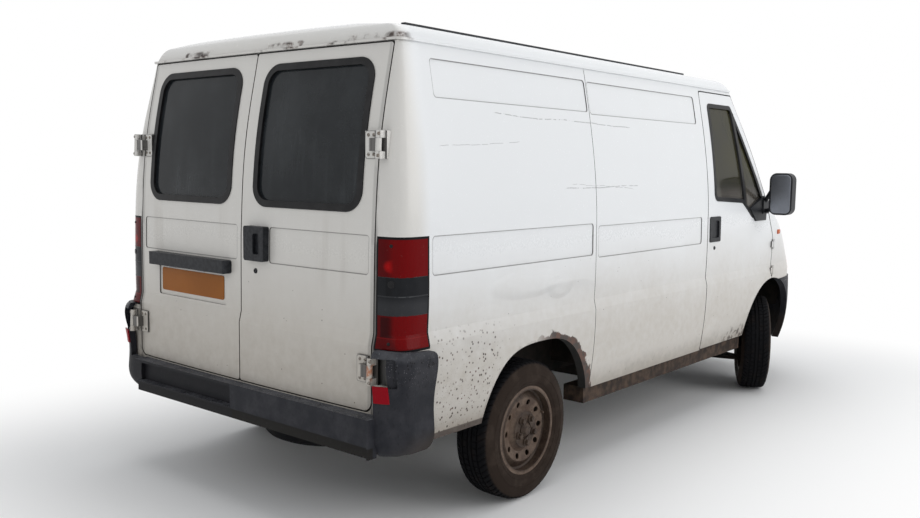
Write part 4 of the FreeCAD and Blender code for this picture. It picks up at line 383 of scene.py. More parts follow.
def body_paint():
    paint = Finish("body_paint", Coat_Weight=0.15, Coat_Roughness=0.15)
    x, y, z = paint.parts(paint.place())
    side_way, cross_way, up_way = [abs(way) for way in paint.facing()]
    outward = abs(y)
    clouds = paint.cloud(1.3)
    fine = paint.cloud(24.0, detail=6.0)
    grain = paint.cloud(110.0, detail=3.0)
    streaks = paint.cloud(7.0, stretch=(1.0, 1.0, 0.06), detail=5.0)

    on_doors = x.rise(DOOR_PLANE, DOOR_PLANE - 0.10)
    # The rear doors take a warm film, and are also painted darker as shade of the rear faces.
    colour = paint.mix(on_doors * (0.75 + 0.25 * streaks), CLEAN_WHITE, DOOR_FILM_AND_SHADE)
    # Road film, darker towards the bottom. It is also painted shade on the lower side, where the panel turns down
    # below the crease.
    film_and_shade = (z + 0.30 * (clouds - 0.5) + 0.10 * (streaks - 0.5)).rise(1.28, 0.66)
    colour = paint.mix((film_and_shade * (0.55 + 0.45 * fine)).least(1.0), colour, LOW_FILM_AND_SHADE)
    splash = (z + 0.16 * (fine - 0.5) + 0.10 * (clouds - 0.5)).rise(0.56, 0.42)
    behind_wheel = x.rise(rear(-0.10), rear(-0.45)) * z.rise(0.95, 0.50)
    colour = paint.mix((splash * 0.55 + behind_wheel * 0.35 * fine).least(0.9), colour, ROAD_DIRT)

    run_below = streaks.rise(0.52, 0.70) * z.band(1.05, 1.34, 0.10) * on_doors
    colour = paint.mix(run_below * 0.16, colour, ROAD_DIRT)

    marks = None
    for start, end, thickness, bend, shift in SCRATCHES:
        mark = line_mark(paint, x, z, start, end, thickness, bend, shift)
        marks = mark if marks is None else marks.most(mark)
    right_side = y.rise(-0.5, -0.6) * outward.rise(0.84, 0.86)
    colour = paint.mix(marks * right_side * 0.75, colour, SCRATCH)

    along = (x - rear(ARCH_CENTRE)) / ARCH_REACH
    above = (z - ARCH_BASE) / ARCH_RISE
    ring = (along * along + above * above) ** 0.5
    ragged = 0.26 * (paint.cloud(16.0, detail=6.0) - 0.5)
    arch_front = x.rise(rear(-0.02), rear(0.18))
    arch_rust = (ring + ragged).rise(1.050 + 0.05 * arch_front, 1.025 + 0.05 * arch_front)
    arch_rust = arch_rust * (0.20 + 0.80 * arch_front)
    speckled = paint.cloud(4.0, shift=7.0).rise(0.30, 0.52)
    stone_zone = x.band(rear(-0.70), rear(-0.26), 0.05) * z.band(0.42, 0.86, 0.06)
    chips = paint.spots(46.0, 0.20 + 0.16 * fine) * stone_zone * speckled
    low_corner = x.band(rear(-0.70), rear(-0.20), 0.05) * z.rise(0.80, 0.60)
    small_chips = paint.spots(110.0, 0.20, shift=3.0) * low_corner
    few_chips = paint.spots(17.0, 0.055, shift=5.0) * z.rise(1.25, 0.9)
    door_foot = blob(x, z, (front(-0.47), 0.44), (0.30, 0.11)) * fine.rise(0.45, 0.60)
    roof_edge = z.band(2.040, 2.075, 0.008) * x.rise(rear(-0.70), rear(-0.76))
    roof_rust = roof_edge * paint.cloud(6.0, shift=2.0).rise(0.50, 0.62) * fine.rise(0.35, 0.55)
    rusty = (arch_rust * 0.95).most(chips * 0.9).most(small_chips * 0.55).most(few_chips * 0.8)
    rusty = rusty.most(door_foot * 0.8).most(roof_rust)
    colour = paint.mix(rusty, colour, paint.mix(fine.rise(0.4, 0.6), RUST, DARK_RUST))
    foot = z.rise(FOOT_EDGE + 0.006, FOOT_EDGE) * x.rise(rear(-0.20), rear(-0.28))
    colour = paint.mix(foot * (0.75 + 0.35 * fine).least(1.0), colour, FOOT_GRIME)
    from_pin = ((x - HINGE_PIN.x) ** 2.0 + (y - HINGE_PIN.y) ** 2.0) ** 0.5
    knuckle = from_pin.rise(0.021, 0.017) * z.band(HINGE_PIN.z - 0.035, HINGE_PIN.z + 0.035, 0.006)
    colour = paint.mix(knuckle * fine.rise(0.40, 0.55), colour, HINGE_RUST)

    on_back = x.rise(rear(-0.80), rear(-0.84)) * outward.rise(REAR_GAP, REAR_GAP - 0.005)
    on_side = y.rise(-0.80, -0.86)
    edges = field_edge_shade(y, z, DOOR_FIELDS[0], on_back).most(field_edge_shade(y, z, DOOR_FIELDS[1], on_back))
    for field in SIDE_FIELDS:
        edges = edges.most(field_edge_shade(x, z, field, on_side))
    for height in HINGE_LEAF_HEIGHTS:
        field = (HINGE_LEAF[0], HINGE_LEAF[1], height - HINGE_LEAF[2], height + HINGE_LEAF[2])
        edges = edges.most(field_edge_shade(outward, z, field, on_back))
    # Painted shade along the edges of the pressed fields and the hinge leaves.
    colour = paint.mix(edges * (0.45 + 0.35 * fine), colour, PRESSED_EDGE_SHADE)
    # The hinge pocket behind the lower leaf is painted near-black as shade.
    shaded_pocket = outward.band(POCKET_START, POCKET_END, 0.002) * x.rise(rear(-0.89), rear(-0.90))
    shaded_pocket = shaded_pocket * z.band(HINGE_PIN.z - POCKET_HALF, HINGE_PIN.z + POCKET_HALF, 0.002)
    colour = paint.mix(shaded_pocket, colour, UNDERSEAL)

    side_wall = cross_way.rise(0.05, 0.01) * outward.rise(SIDE_SKIN, SIDE_SKIN + 0.01)
    side_wall = side_wall * z.rise(GUTTER_HEIGHT, GUTTER_HEIGHT - 0.01)
    rear_wall = side_way.rise(0.05, 0.01) * x.rise(rear(-0.74), rear(-0.76))
    rear_wall = rear_wall * outward.rise(REAR_GAP, REAR_GAP - 0.003)
    walls = side_wall.most(rear_wall * z.rise(2.055, 2.050))
    # The walls in the shut lines are darkened: dirt, and painted shade of the narrow gaps.
    colour = paint.mix(walls * 0.9, colour, SHUT_LINE_DIRT_AND_SHADE)
    in_arch = side_wall * ring.rise(1.04, 1.01)
    colour = paint.mix(in_arch * (0.6 + 0.4 * fine), colour, UNDERSEAL)

    dents = 0.35 * paint.cloud(2.2, detail=2.0)
    for centre, reach, depth in DENTS:
        dents = dents + depth * blob(x, z, centre, reach)
    paint.feed("Base Color", colour)
    paint.feed("Roughness", (0.24 + 0.20 * film_and_shade + 0.25 * splash + 0.35 * rusty + 0.05 * grain).least(0.9))
    height = dents * 0.85 + 0.02 * grain + 0.05 * rusty * fine
    paint.bump(height, 0.60, 0.024)
    return paint.material


print("scratches:", len(SCRATCHES), "dents:", len(DENTS))

# %% [markdown]
# ## Bumper plastic
# The bumpers are moulded in dark blue-grey plastic with a fine grain. Rain has left dark wet patches on top,
# and the tread of the step is pebbled. Bright specks on top are painted glints, the faces that look up are
# painted paler as lit, and the low face on the left is painted darker as shade under the step. Gloss that
# changes over the surface shows this better than colour alone, so the roughness carries the wet patches and a
# small relief carries the grain.

# %% Bumper plastic
BUMPER_GREY = rgb(0.017, 0.018, 0.023)
BUMPER_PALE = rgb(0.036, 0.036, 0.042)
BUMPER_WET = rgb(0.006, 0.006, 0.008)
BEAM_BLACK = rgb(0.010, 0.009, 0.008)


def bumper_plastic():
    plastic = Finish("bumper_plastic", Specular_IOR_Level=0.15)
    x, y, z = plastic.parts(plastic.place())
    side_way, cross_way, up_way = plastic.facing()
    grain = plastic.cloud(260.0, detail=3.0)
    cloud = plastic.cloud(9.0, detail=5.0)
    wet_patches = plastic.cloud(38.0, detail=5.0, shift=4.0).rise(0.56, 0.64)
    upper = z.rise(0.62, 0.80).most(up_way.rise(0.5, 0.8))
    drops = plastic.spots(70.0, 0.28, stretch=(1.0, 1.0, 0.45)) * (0.35 + 0.65 * upper)
    glints = plastic.spots(120.0, 0.13, shift=2.0) * upper
    colour = plastic.mix(cloud.rise(0.35, 0.70), BUMPER_GREY, BUMPER_PALE)
    colour = plastic.mix((wet_patches * upper * 0.8 + drops * 0.9).least(1.0), colour, BUMPER_WET)
    # Painted light: the faces that look up are made paler, as if lit from above.
    lit_upper_faces = up_way.rise(0.10, 0.45) * (0.35 + 0.65 * cloud.rise(0.35, 0.60))
    colour = plastic.mix(lit_upper_faces * 0.55, colour, rgb(0.105, 0.108, 0.120))
    # Painted highlights: bright glints on the upper faces.
    colour = plastic.mix(glints * 0.8, colour, rgb(0.42, 0.43, 0.45))
    step_top = up_way.rise(0.5, 0.8) * z.rise(0.60, 0.58)
    pebbles = plastic.spots(75.0, 0.45, shift=9.0)
    colour = plastic.mix(step_top * pebbles * 0.6, colour, rgb(0.12, 0.125, 0.14))
    beam = z.rise(0.452, 0.447)
    colour = plastic.mix(beam * x.rise(rear(-0.95), rear(-0.952)), colour, BEAM_BLACK)
    # Painted shade: the face set in below the step tread on the left is made darker.
    shaded_left_face = y.rise(0.0, 0.004) * z.rise(0.60, 0.56) * (1.0 - step_top)
    colour = plastic.mix(shaded_left_face * 0.75, colour, rgb(0.009, 0.009, 0.011))
    splash = (z + 0.06 * (cloud - 0.5)).rise(0.52, 0.42) * x.rise(rear(-0.93), rear(-0.75))
    colour = plastic.mix(splash * 0.6, colour, rgb(0.045, 0.033, 0.025))
    plastic.feed("Base Color", colour)
    plastic.feed("Roughness", (0.55 - 0.38 * wet_patches * upper - 0.25 * drops + 0.10 * cloud).most(0.12))
    plastic.bump(grain * 0.5 + pebbles * step_top * 2.0 + drops * 0.5, 0.35, 0.0012)
    return plastic.material


print("bumper finish ready")


# %% [markdown]
# ## Lamps
# A tail lamp is one moulding in four parts: red above, smoked grey with the indicator bulb behind it, a
# clearer strip, and red below. The parts meet in thin ribs, and fine prisms inside spread the light. The
# parts are bands of height on one solid, so they are masks; the ribs, bulbs and screws are pieces of their
# own further down.

# %% Tail lamps and reflectors
LENS_RED = rgb(0.150, 0.0006, 0.0015)
LENS_RED_DEEP = rgb(0.050, 0.0008, 0.0020)
LENS_SMOKE = rgb(0.010, 0.011, 0.013)
LENS_SMOKE_PALE = rgb(0.044, 0.045, 0.049)
LAMP_BLACK = rgb(0.008, 0.008, 0.009)
REFLECTOR_RED = rgb(0.260, 0.003, 0.010)
LAMP_TOP = 1.275
LAMP_BOTTOM = 0.824
SMOKE_TOP = 1.117
SMOKE_RIB = 1.042
SMOKE_BOTTOM = 0.967
LAMP_INNER_EDGE = 0.836
LAMP_CORNER = rear(-0.888)


def tail_lamp_lens():
    lens = Finish("tail_lamp_lens", Specular_IOR_Level=0.05, Coat_Weight=0.04, Coat_Roughness=0.03)
    x, y, z = lens.parts(lens.place())
    outward = abs(y)
    cloud = lens.cloud(20.0)
    on_side = x.rise(LAMP_CORNER, LAMP_CORNER + 0.012)
    prisms = (z.wave(0.0075) * 0.5 + 0.5) * (x - outward).wave(0.0075)
    # Painted reflection: a bright red spot of light on the rear face of the lens.
    reflection_spot = blob(x - outward, z, (LAMP_CORNER - 0.915, 1.160), (0.050, 0.034))
    inner_box = outward.band(0.86, 0.935, 0.004) * (1.0 - on_side)
    red = lens.mix((0.35 + 0.55 * on_side + 0.15 * cloud).least(1.0), LENS_RED_DEEP, LENS_RED)
    red = lens.mix(reflection_spot * (1.0 - on_side) * 0.85, red, rgb(0.56, 0.004, 0.004))
    fog = inner_box * z.band(0.880, 0.960, 0.004)
    red = lens.mix(fog * 0.75, red, rgb(0.018, 0.0006, 0.0012))
    smoke = lens.mix((z.rise(SMOKE_RIB + 0.01, SMOKE_RIB - 0.04) * 0.6 + 0.3 * cloud).least(1.0), LENS_SMOKE,
                     LENS_SMOKE_PALE)
    bulb_box = outward.band(0.885, 0.940, 0.003) * z.rise(SMOKE_RIB, SMOKE_RIB + 0.004) * (1.0 - on_side)
    smoke = lens.mix(bulb_box * 0.55, smoke, LAMP_BLACK)
    in_smoke = z.band(SMOKE_BOTTOM, SMOKE_TOP, 0.001)
    colour = lens.mix(in_smoke, red, smoke)
    rib = z.band(SMOKE_RIB - 0.002, SMOKE_RIB + 0.002, 0.001)
    colour = lens.mix(rib * 0.6, colour, rgb(0.11, 0.115, 0.12))
    low_rib = z.band(0.876, 0.879, 0.001)
    colour = lens.mix(low_rib * 0.5, colour, rgb(0.24, 0.01, 0.01))
    # Painted shade: the outer border of the lens is made black, as the shadow in the gap where it meets the body.
    rim = z.rise(LAMP_TOP - 0.011, LAMP_TOP - 0.009).most(z.rise(LAMP_BOTTOM + 0.011, LAMP_BOTTOM + 0.009))
    rim = rim.most(outward.rise(LAMP_INNER_EDGE + 0.009, LAMP_INNER_EDGE + 0.007))
    rim = rim.most(x.rise(rear(-0.731), rear(-0.729)))
    colour = lens.mix(rim, colour, LAMP_BLACK)
    reflector = z.rise(0.75, 0.74)
    colour = lens.mix(reflector, colour, REFLECTOR_RED)
    dirt = lens.cloud(60.0, detail=5.0, shift=3.0).rise(0.60, 0.75)
    colour = lens.mix(dirt * 0.08, colour, rgb(0.14, 0.12, 0.10))
    lens.feed("Base Color", colour)
    lens.feed("Roughness", 0.16 + 0.18 * dirt + 0.25 * rim)
    lens.bump(prisms * (1.0 - rim), 0.25, 0.0008)
    return lens.material


print("tail lamp from", LAMP_BOTTOM, "to", LAMP_TOP, "m high")


# %% Headlamps
INDICATOR_ORANGE = rgb(0.640, 0.200, 0.012)
HEADLAMP_FOOT = 0.785
INDICATOR_START = 0.735


def headlamp_lens():
    lens = Finish("headlamp_lens", Coat_Weight=0.8, Coat_Roughness=0.02)
    x, y, z = lens.parts(lens.place())
    outward = abs(y)
    bowl = blob(outward, z, (0.585, 0.850), (0.115, 0.062))
    colour = lens.mix(bowl, rgb(0.16, 0.165, 0.17), rgb(0.62, 0.63, 0.64))
    core = blob(outward, z, (0.585, 0.850), (0.030, 0.026)).rise(0.1, 0.4)
    colour = lens.mix(core * 0.8, colour, rgb(0.08, 0.08, 0.085))
    indicator = outward.rise(INDICATOR_START, INDICATOR_START + 0.003)
    colour = lens.mix(indicator, colour, INDICATOR_ORANGE)
    edge = (z - HEADLAMP_FOOT).rise(0.009, 0.006).most(z.rise(0.906, 0.909))
    edge = edge.most(outward.band(INDICATOR_START - 0.003, INDICATOR_START, 0.001))
    colour = lens.mix(edge, colour, LAMP_BLACK)
    lens.feed("Base Color", colour)
    lens.feed("Roughness", 0.12 + 0.30 * edge)
    flutes = outward.wave(0.014) + 0.3 * z.wave(0.02)
    lens.bump(flutes * (1.0 - edge), 0.35, 0.0012)
    return lens.material


print("headlamp foot at", HEADLAMP_FOOT, "m")


# %% [markdown]
# ## Glass
# The rear panes are dark grey, hazed by fine road dust that the rain has dotted. Both could be a clear
# glass shader with a dark load space behind. A dark, nearly closed pane looks the same from outside and
# shows less noise.

# %% Glass


def dark_glass():
    glass = Finish("dark_glass", Specular_IOR_Level=0.18, Alpha=0.96)
    x, y, z = glass.parts(glass.place())
    haze = glass.cloud(3.0, detail=6.0).rise(0.35, 0.75)
    runs = glass.cloud(16.0, stretch=(1.0, 1.0, 0.08), shift=2.0).rise(0.45, 0.75)
    drops = glass.spots(90.0, 0.16) * glass.cloud(8.0, shift=5.0).rise(0.45, 0.60)
    lower = z.rise(1.90, 1.40)
    colour = glass.mix(haze * 0.5 + runs * 0.35 * lower, rgb(0.012, 0.0145, 0.017), rgb(0.046, 0.051, 0.055))
    colour = glass.mix(drops * 0.5, colour, rgb(0.10, 0.105, 0.11))
    glass.feed("Base Color", colour)
    glass.feed("Roughness", 0.10 + 0.12 * haze + 0.15 * runs)
    return glass.material


def cab_glass():
    glass = Finish("cab_glass", Specular_IOR_Level=0.15, Alpha=0.74)
    x, y, z = glass.parts(glass.place())
    trees = glass.cloud(2.6, stretch=(1.0, 1.0, 0.6), detail=5.0)
    # Painted reflection: green trees reflected in the upper part of the cab glass.
    tree_reflection = z.rise(1.30, 1.62)
    colour = glass.mix(tree_reflection * trees.rise(0.3, 0.7), rgb(0.032, 0.031, 0.026), rgb(0.050, 0.046, 0.018))
    grey_haze = z.rise(1.46, 1.38) * trees.rise(0.25, 0.55)
    colour = glass.mix(grey_haze * 0.8, colour, rgb(0.125, 0.112, 0.098))
    glass.feed("Base Color", colour)
    glass.feed("Roughness", 0.06 + 0.05 * trees)
    return glass.material


def mirror_glass():
    """Silvered glass, wet and speckled."""
    glass = Finish("mirror_glass", Metallic=1.0)
    drops = glass.spots(160.0, 0.30, shift=3.0) * glass.cloud(30.0).rise(0.45, 0.60)
    cloud = glass.cloud(12.0)
    colour = glass.mix(cloud, rgb(0.185, 0.198, 0.230), rgb(0.270, 0.284, 0.312))
    glass.feed("Base Color", glass.mix(drops * 0.6, colour, rgb(0.05, 0.05, 0.055)))
    glass.feed("Roughness", 0.30 + 0.25 * drops)
    return glass.material


print("glass finishes ready")


# %% [markdown]
# ## Tyres and steel wheels
# The tyre walls and the steel wheels wear the same brown road dust, thin on the tread and thick where the
# wheel is dished. Each wheel's masks are measured from its own axle, because dust and rust lie in rings
# about the hub.

# %% Tyre rubber
RUBBER_BLACK = rgb(0.006, 0.006, 0.007)
RUBBER_DUSTY = rgb(0.026, 0.018, 0.014)
RUBBER_PALE = rgb(0.046, 0.034, 0.027)
TREAD_EDGE = TYRE_RADIUS - 0.012


def tyre_rubber(name, tread_edge):
    rubber = Finish(name, Specular_IOR_Level=0.08)
    x, y, z = rubber.parts(rubber.place())
    ring = (x * x + z * z) ** 0.5
    cloud = rubber.cloud(14.0, detail=6.0)
    fine = rubber.cloud(70.0, detail=4.0, shift=2.0)
    wall = ring.rise(tread_edge + 0.004, tread_edge - 0.010)
    colour = rubber.mix(wall, RUBBER_BLACK, RUBBER_DUSTY)
    colour = rubber.mix(wall * cloud.rise(0.45, 0.70) * 0.7, colour, RUBBER_PALE)
    colour = rubber.mix((1.0 - wall) * cloud.rise(0.50, 0.75) * 0.3, colour, RUBBER_DUSTY)
    rubber.feed("Base Color", colour)
    rubber.feed("Roughness", 0.78 + 0.15 * (fine - 0.5))
    rubber.bump(fine, 0.25, 0.0008)
    return rubber.material


print("tread ends at", round(TREAD_EDGE, 4), "m from the axle")


# %% Wheel steel
WHEEL_BROWN = rgb(0.074, 0.047, 0.034)
WHEEL_DUST = rgb(0.150, 0.106, 0.078)
WHEEL_DARK = rgb(0.018, 0.012, 0.009)


def wheel_steel(name, centre, axle):
    """Dusty painted steel, with rings of grime about the axle, for one wheel."""
    steel = Finish(name, Specular_IOR_Level=0.20)
    x, y, z = steel.parts(steel.place())
    out = (x - centre.x) * axle.x + (y - centre.y) * axle.y
    flat = (x - centre.x - out * axle.x) ** 2.0 + (y - centre.y - out * axle.y) ** 2.0
    ring = (flat + (z - centre.z) ** 2.0) ** 0.5
    cloud = steel.cloud(18.0, detail=6.0)
    fine = steel.cloud(90.0, detail=5.0, shift=4.0)
    colour = steel.mix(cloud.rise(0.35, 0.68), WHEEL_BROWN, WHEEL_DUST)
    grime = ring.band(0.150, 0.196, 0.008) * 0.55 + ring.rise(0.094, 0.082) * 0.55
    colour = steel.mix((grime + 0.35 * fine.rise(0.5, 0.7)).least(0.85), colour, WHEEL_DARK)
    edge_rust = ring.band(0.196, 0.214, 0.003) * fine.rise(0.45, 0.60)
    colour = steel.mix(edge_rust * 0.4, colour, rgb(0.20, 0.145, 0.110))
    steel.feed("Base Color", colour)
    steel.feed("Roughness", 0.52 + 0.25 * (cloud - 0.5))
    steel.bump(fine + 0.6 * cloud, 0.25, 0.0015)
    return steel.material


print("wheel steel ready")


# %% [markdown]
# ## Plain finishes
# The rest are plain materials: black mouldings, rubber, cab trim, cloth, and the underside. Each still
# wanders between two shades and two levels of gloss, because nothing on a working van is one even colour.

# %% Plain finishes


def dull(name, colour, worn, roughness, scale=18.0, metallic=0.0, strength=0.15, grain=0.001, shine=0.18):
    """A plain finish whose colour and gloss wander between two shades."""
    made = Finish(name, Metallic=metallic, Specular_IOR_Level=shine)
    cloud = made.cloud(scale, detail=6.0)
    made.feed("Base Color", made.mix(cloud.rise(0.35, 0.70), colour, worn))
    made.feed("Roughness", roughness + 0.2 * (cloud - 0.5))
    made.bump(cloud, strength, grain)
    return made.material


def seat_cloth():
    """Woven cloth: fine threads both ways, with a slow change of shade."""
    cloth = Finish("seat_cloth", Sheen_Weight=0.3, Sheen_Roughness=0.4)
    x, y, z = cloth.parts(cloth.place())
    weave = (x + z).wave(0.004) * y.wave(0.004)
    cloud = cloth.cloud(25.0, detail=5.0)
    shade = (0.5 + 0.5 * weave) * 0.5 + 0.5 * cloud
    cloth.feed("Base Color", cloth.mix(shade, rgb(0.022, 0.024, 0.030), rgb(0.075, 0.080, 0.095)))
    cloth.feed("Roughness", 0.85 + 0.1 * cloud)
    cloth.bump(weave, 0.4, 0.0012)
    return cloth.material


FINISHES = {
    "body_paint": body_paint(),
    "bumper_plastic": bumper_plastic(),
    "dark_plastic": dull("dark_plastic", rgb(0.011, 0.012, 0.015), rgb(0.030, 0.032, 0.036), 0.42, 60.0),
    "seal_rubber": dull("seal_rubber", rgb(0.006, 0.006, 0.007), rgb(0.016, 0.016, 0.017), 0.38),
    "lamp_red": tail_lamp_lens(),
    "lamp_clear": headlamp_lens(),
    "plate_face": dull("plate_face", rgb(0.300, 0.095, 0.007), rgb(0.255, 0.082, 0.008), 0.45, 5.0,
                       strength=0.03),
    "inner_steel": dull("inner_steel", rgb(0.42, 0.42, 0.40), rgb(0.26, 0.25, 0.22), 0.5, 8.0),
    "underbody": dull("underbody", rgb(0.004, 0.004, 0.003), rgb(0.020, 0.015, 0.012), 0.75, 12.0,
                      strength=0.4),
    "sill_grime": dull("sill_grime", rgb(0.020, 0.014, 0.011), rgb(0.085, 0.056, 0.040), 0.7, 22.0,
                       strength=0.4),
    "exhaust_steel": dull("exhaust_steel", rgb(0.10, 0.05, 0.03), rgb(0.20, 0.14, 0.10), 0.6, metallic=0.5),
    "engine": dull("engine", rgb(0.07, 0.07, 0.07), rgb(0.13, 0.12, 0.11), 0.55, metallic=0.4),
    "cab_trim": dull("cab_trim", rgb(0.022, 0.022, 0.025), rgb(0.045, 0.045, 0.048), 0.6, 80.0),
    "seat_cloth": seat_cloth(),
    "tyre": tyre_rubber("spare_tyre", TREAD_EDGE),
    "screen_glass": cab_glass(),
    "dark_glass": dark_glass(),
    "mirror_glass": mirror_glass(),
    "screw_steel": dull("screw_steel", rgb(0.32, 0.31, 0.29), rgb(0.12, 0.075, 0.045), 0.45, 300.0, 0.7),
    "orange_lens": dull("orange_lens", rgb(0.62, 0.13, 0.02), rgb(0.48, 0.08, 0.02), 0.15, 60.0,
                        strength=0.05),
}

WHEELS = {}
for corner in ("front_right", "front_left", "rear_right", "rear_left"):
    spin = [joint for joint in frame["joints"] if joint["name"] == "wheel_" + corner + "_spin"][0]
    WHEELS[corner] = Vector(spin["axis"]).normalized()
    FINISHES["rim_" + corner] = wheel_steel("wheel_steel_" + corner, middle("rim_" + corner), WHEELS[corner])

OWN_FINISH = {
    "rear_bumper": "bumper_plastic",
    "front_bumper": "bumper_plastic",
    "sills": "sill_grime",
    "wheel_boxes": "underbody",
}
for row in frame["record"]["subparts"]:
    name = row["node"]
    chosen = OWN_FINISH.get(name, name if name in FINISHES else row["material_slot"])
    solid = nodes[name]
    solid.data.materials.clear()
    solid.data.materials.append(FINISHES[chosen])
print("finishes:", len(FINISHES))

# %% [markdown]
# ## Making pieces
# Small parts are turned on a lathe or moulded, and the same two ways make them here: a profile spun about
# an axis, and a block with rounded edges. Every piece rides on the body that carries it, so it moves with
# that body's joint.

# %% Piece makers
WELD = 0.00001


def to_mesh(name, shape):
    """Mesh of a bmesh, which is then freed."""
    mesh = bpy.data.meshes.new(name)
    shape.to_mesh(mesh)
    shape.free()
    return mesh


def smoothed(mesh):
    """Shades every face of a mesh smoothly."""
    for face in mesh.polygons:
        face.use_smooth = True


def piece(name, shape, finish, body, smooth=35.0):
    """Turns a bmesh into a piece with one finish that moves with a body of the van."""
    bmesh.ops.remove_doubles(shape, verts=shape.verts[:], dist=WELD)
    bmesh.ops.recalc_face_normals(shape, faces=shape.faces[:])
    mesh = to_mesh(name, shape)
    smoothed(mesh)
    mesh.set_sharp_from_angle(angle=math.radians(smooth))
    mesh.materials.append(finish)
    made = in_scene(name, mesh)
    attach(made, body)
    return made


def standing(place, facing):
    """Matrix that puts a part, drawn about Z, at a place and stands it on a surface that faces that way."""
    return Matrix.Translation(place) @ Vector(facing).to_track_quat("Z", "Y").to_matrix().to_4x4()


def bridge(shape, one, other):
    """Faces between two closed rows of points."""
    for i in range(len(one)):
        k = (i + 1) % len(one)
        shape.faces.new((one[i], one[k], other[k], other[i]))


def skin(shape, rings):
    """Faces from each closed row to the next, and a lid on both ends."""
    for low, high in zip(rings, rings[1:]):
        bridge(shape, low, high)
    shape.faces.new(rings[0])
    shape.faces.new(rings[-1])


def turned(shape, profile, sides, matrix, waves=0, wave=0.0):
    """Spins (radius, height) points about Z into a bmesh. Waves make the first two rings a star."""
    rings = []
    for count, (radius, height) in enumerate(profile):
        ring = []
        for i in range(sides):
            turn = 2 * math.pi * i / sides
            reach = radius * (1.0 + wave * math.cos(waves * turn)) if count < 2 else radius
            place = Vector((reach * math.cos(turn), reach * math.sin(turn), height))
            ring.append(shape.verts.new(matrix @ place))
        rings.append(ring)
    skin(shape, rings)


def block(shape, size, matrix, bevel, segments=2):
    """Adds a block with rounded edges, centred on its matrix, to a bmesh."""
    made = bmesh.new()
    bmesh.ops.create_cube(made, size=1.0, matrix=Matrix.Diagonal((*size, 1.0)))
    bmesh.ops.bevel(made, geom=made.edges[:], offset=bevel, segments=segments, profile=0.5, affect="EDGES")
    bmesh.ops.transform(made, matrix=matrix, verts=made.verts[:])
    copy = to_mesh("block", made)
    shape.from_mesh(copy)
    bpy.data.meshes.remove(copy)


def tube(shape, path, radius, sides=10):
    """Adds a round bar along a line of points to a bmesh."""
    rings = []
    for i, point in enumerate(path):
        before = Vector(path[max(i - 1, 0)])
        after = Vector(path[min(i + 1, len(path) - 1)])
        across_line = (after - before).to_track_quat("Z", "Y").to_matrix()
        ring = []
        for k in range(sides):
            turn = 2 * math.pi * k / sides
            away = Vector((radius * math.cos(turn), radius * math.sin(turn), 0.0))
            ring.append(shape.verts.new(Vector(point) + across_line @ away))
        rings.append(ring)
    skin(shape, rings)


SIDES = (("right", -1.0), ("left", 1.0))
print("piece makers ready")

# %% [markdown]
# ## Tyre treads
# A road tyre has straight grooves round it, to carry water off, and short slots across each shoulder. The
# CAD tyre is smooth. Each groove could be cut from it, but a grid laid round the tyre, with its rows placed
# at the groove edges and lowered inside them, gives sharp steps with few faces. The same grid carries the
# low rings of the tyre wall.

# %% Tyre section
PITCHES = 66
GROOVE_DEPTH = 0.0075
RIB_EDGES = (0.0075, 0.0155, 0.0365, 0.0445)
SLOT_START = 0.52
SLOT_END = 0.76
SHOULDER_START = 0.046
SLOT_SLANT = 2.2
SLOT_DEPTH = GROOVE_DEPTH * 0.85
SHOULDER_SLOT_DEPTH = 0.003
SIPE_DEPTH = 0.0035
WALL_POINTS = (
    (0.0880, 0.298), (0.0885, 0.2965), (0.0905, 0.288), (0.0935, 0.276), (0.0955, 0.266), (0.0965, 0.2655),
    (0.0968, 0.2615), (0.0955, 0.261), (0.0955, 0.250), (0.0945, 0.240), (0.0925, 0.230), (0.0935, 0.2295),
    (0.0930, 0.2265), (0.0915, 0.226), (0.0880, 0.216), (0.0840, 0.2085), (0.0790, 0.2035), (0.0775, 0.1965),
)


def half_section():
    """Points (across, radius, kind) from the middle of the tread out to the bead."""
    points = [(0.0, TYRE_RADIUS, "rib")]
    for start, end in (RIB_EDGES[0:2], RIB_EDGES[2:4]):
        crown = TYRE_RADIUS - 0.4 * start * start
        points += [(start, crown, "rib"), (start + 0.0008, crown - GROOVE_DEPTH, "floor")]
        points += [(end - 0.0008, crown - GROOVE_DEPTH, "floor"), (end, crown, "rib")]
    points += [(0.052, TYRE_RADIUS - 0.0012, "shoulder"), (0.062, TYRE_RADIUS - 0.0025, "shoulder")]
    points += [(0.070, TYRE_RADIUS - 0.0045, "shoulder"), (0.0765, TYRE_RADIUS - 0.0080, "shoulder")]
    points += [(0.0815, TYRE_RADIUS - 0.0135, "shoulder"), (0.0840, TYRE_RADIUS - 0.0200, "wall")]
    return points + [(across, radius, "wall") for across, radius in WALL_POINTS]


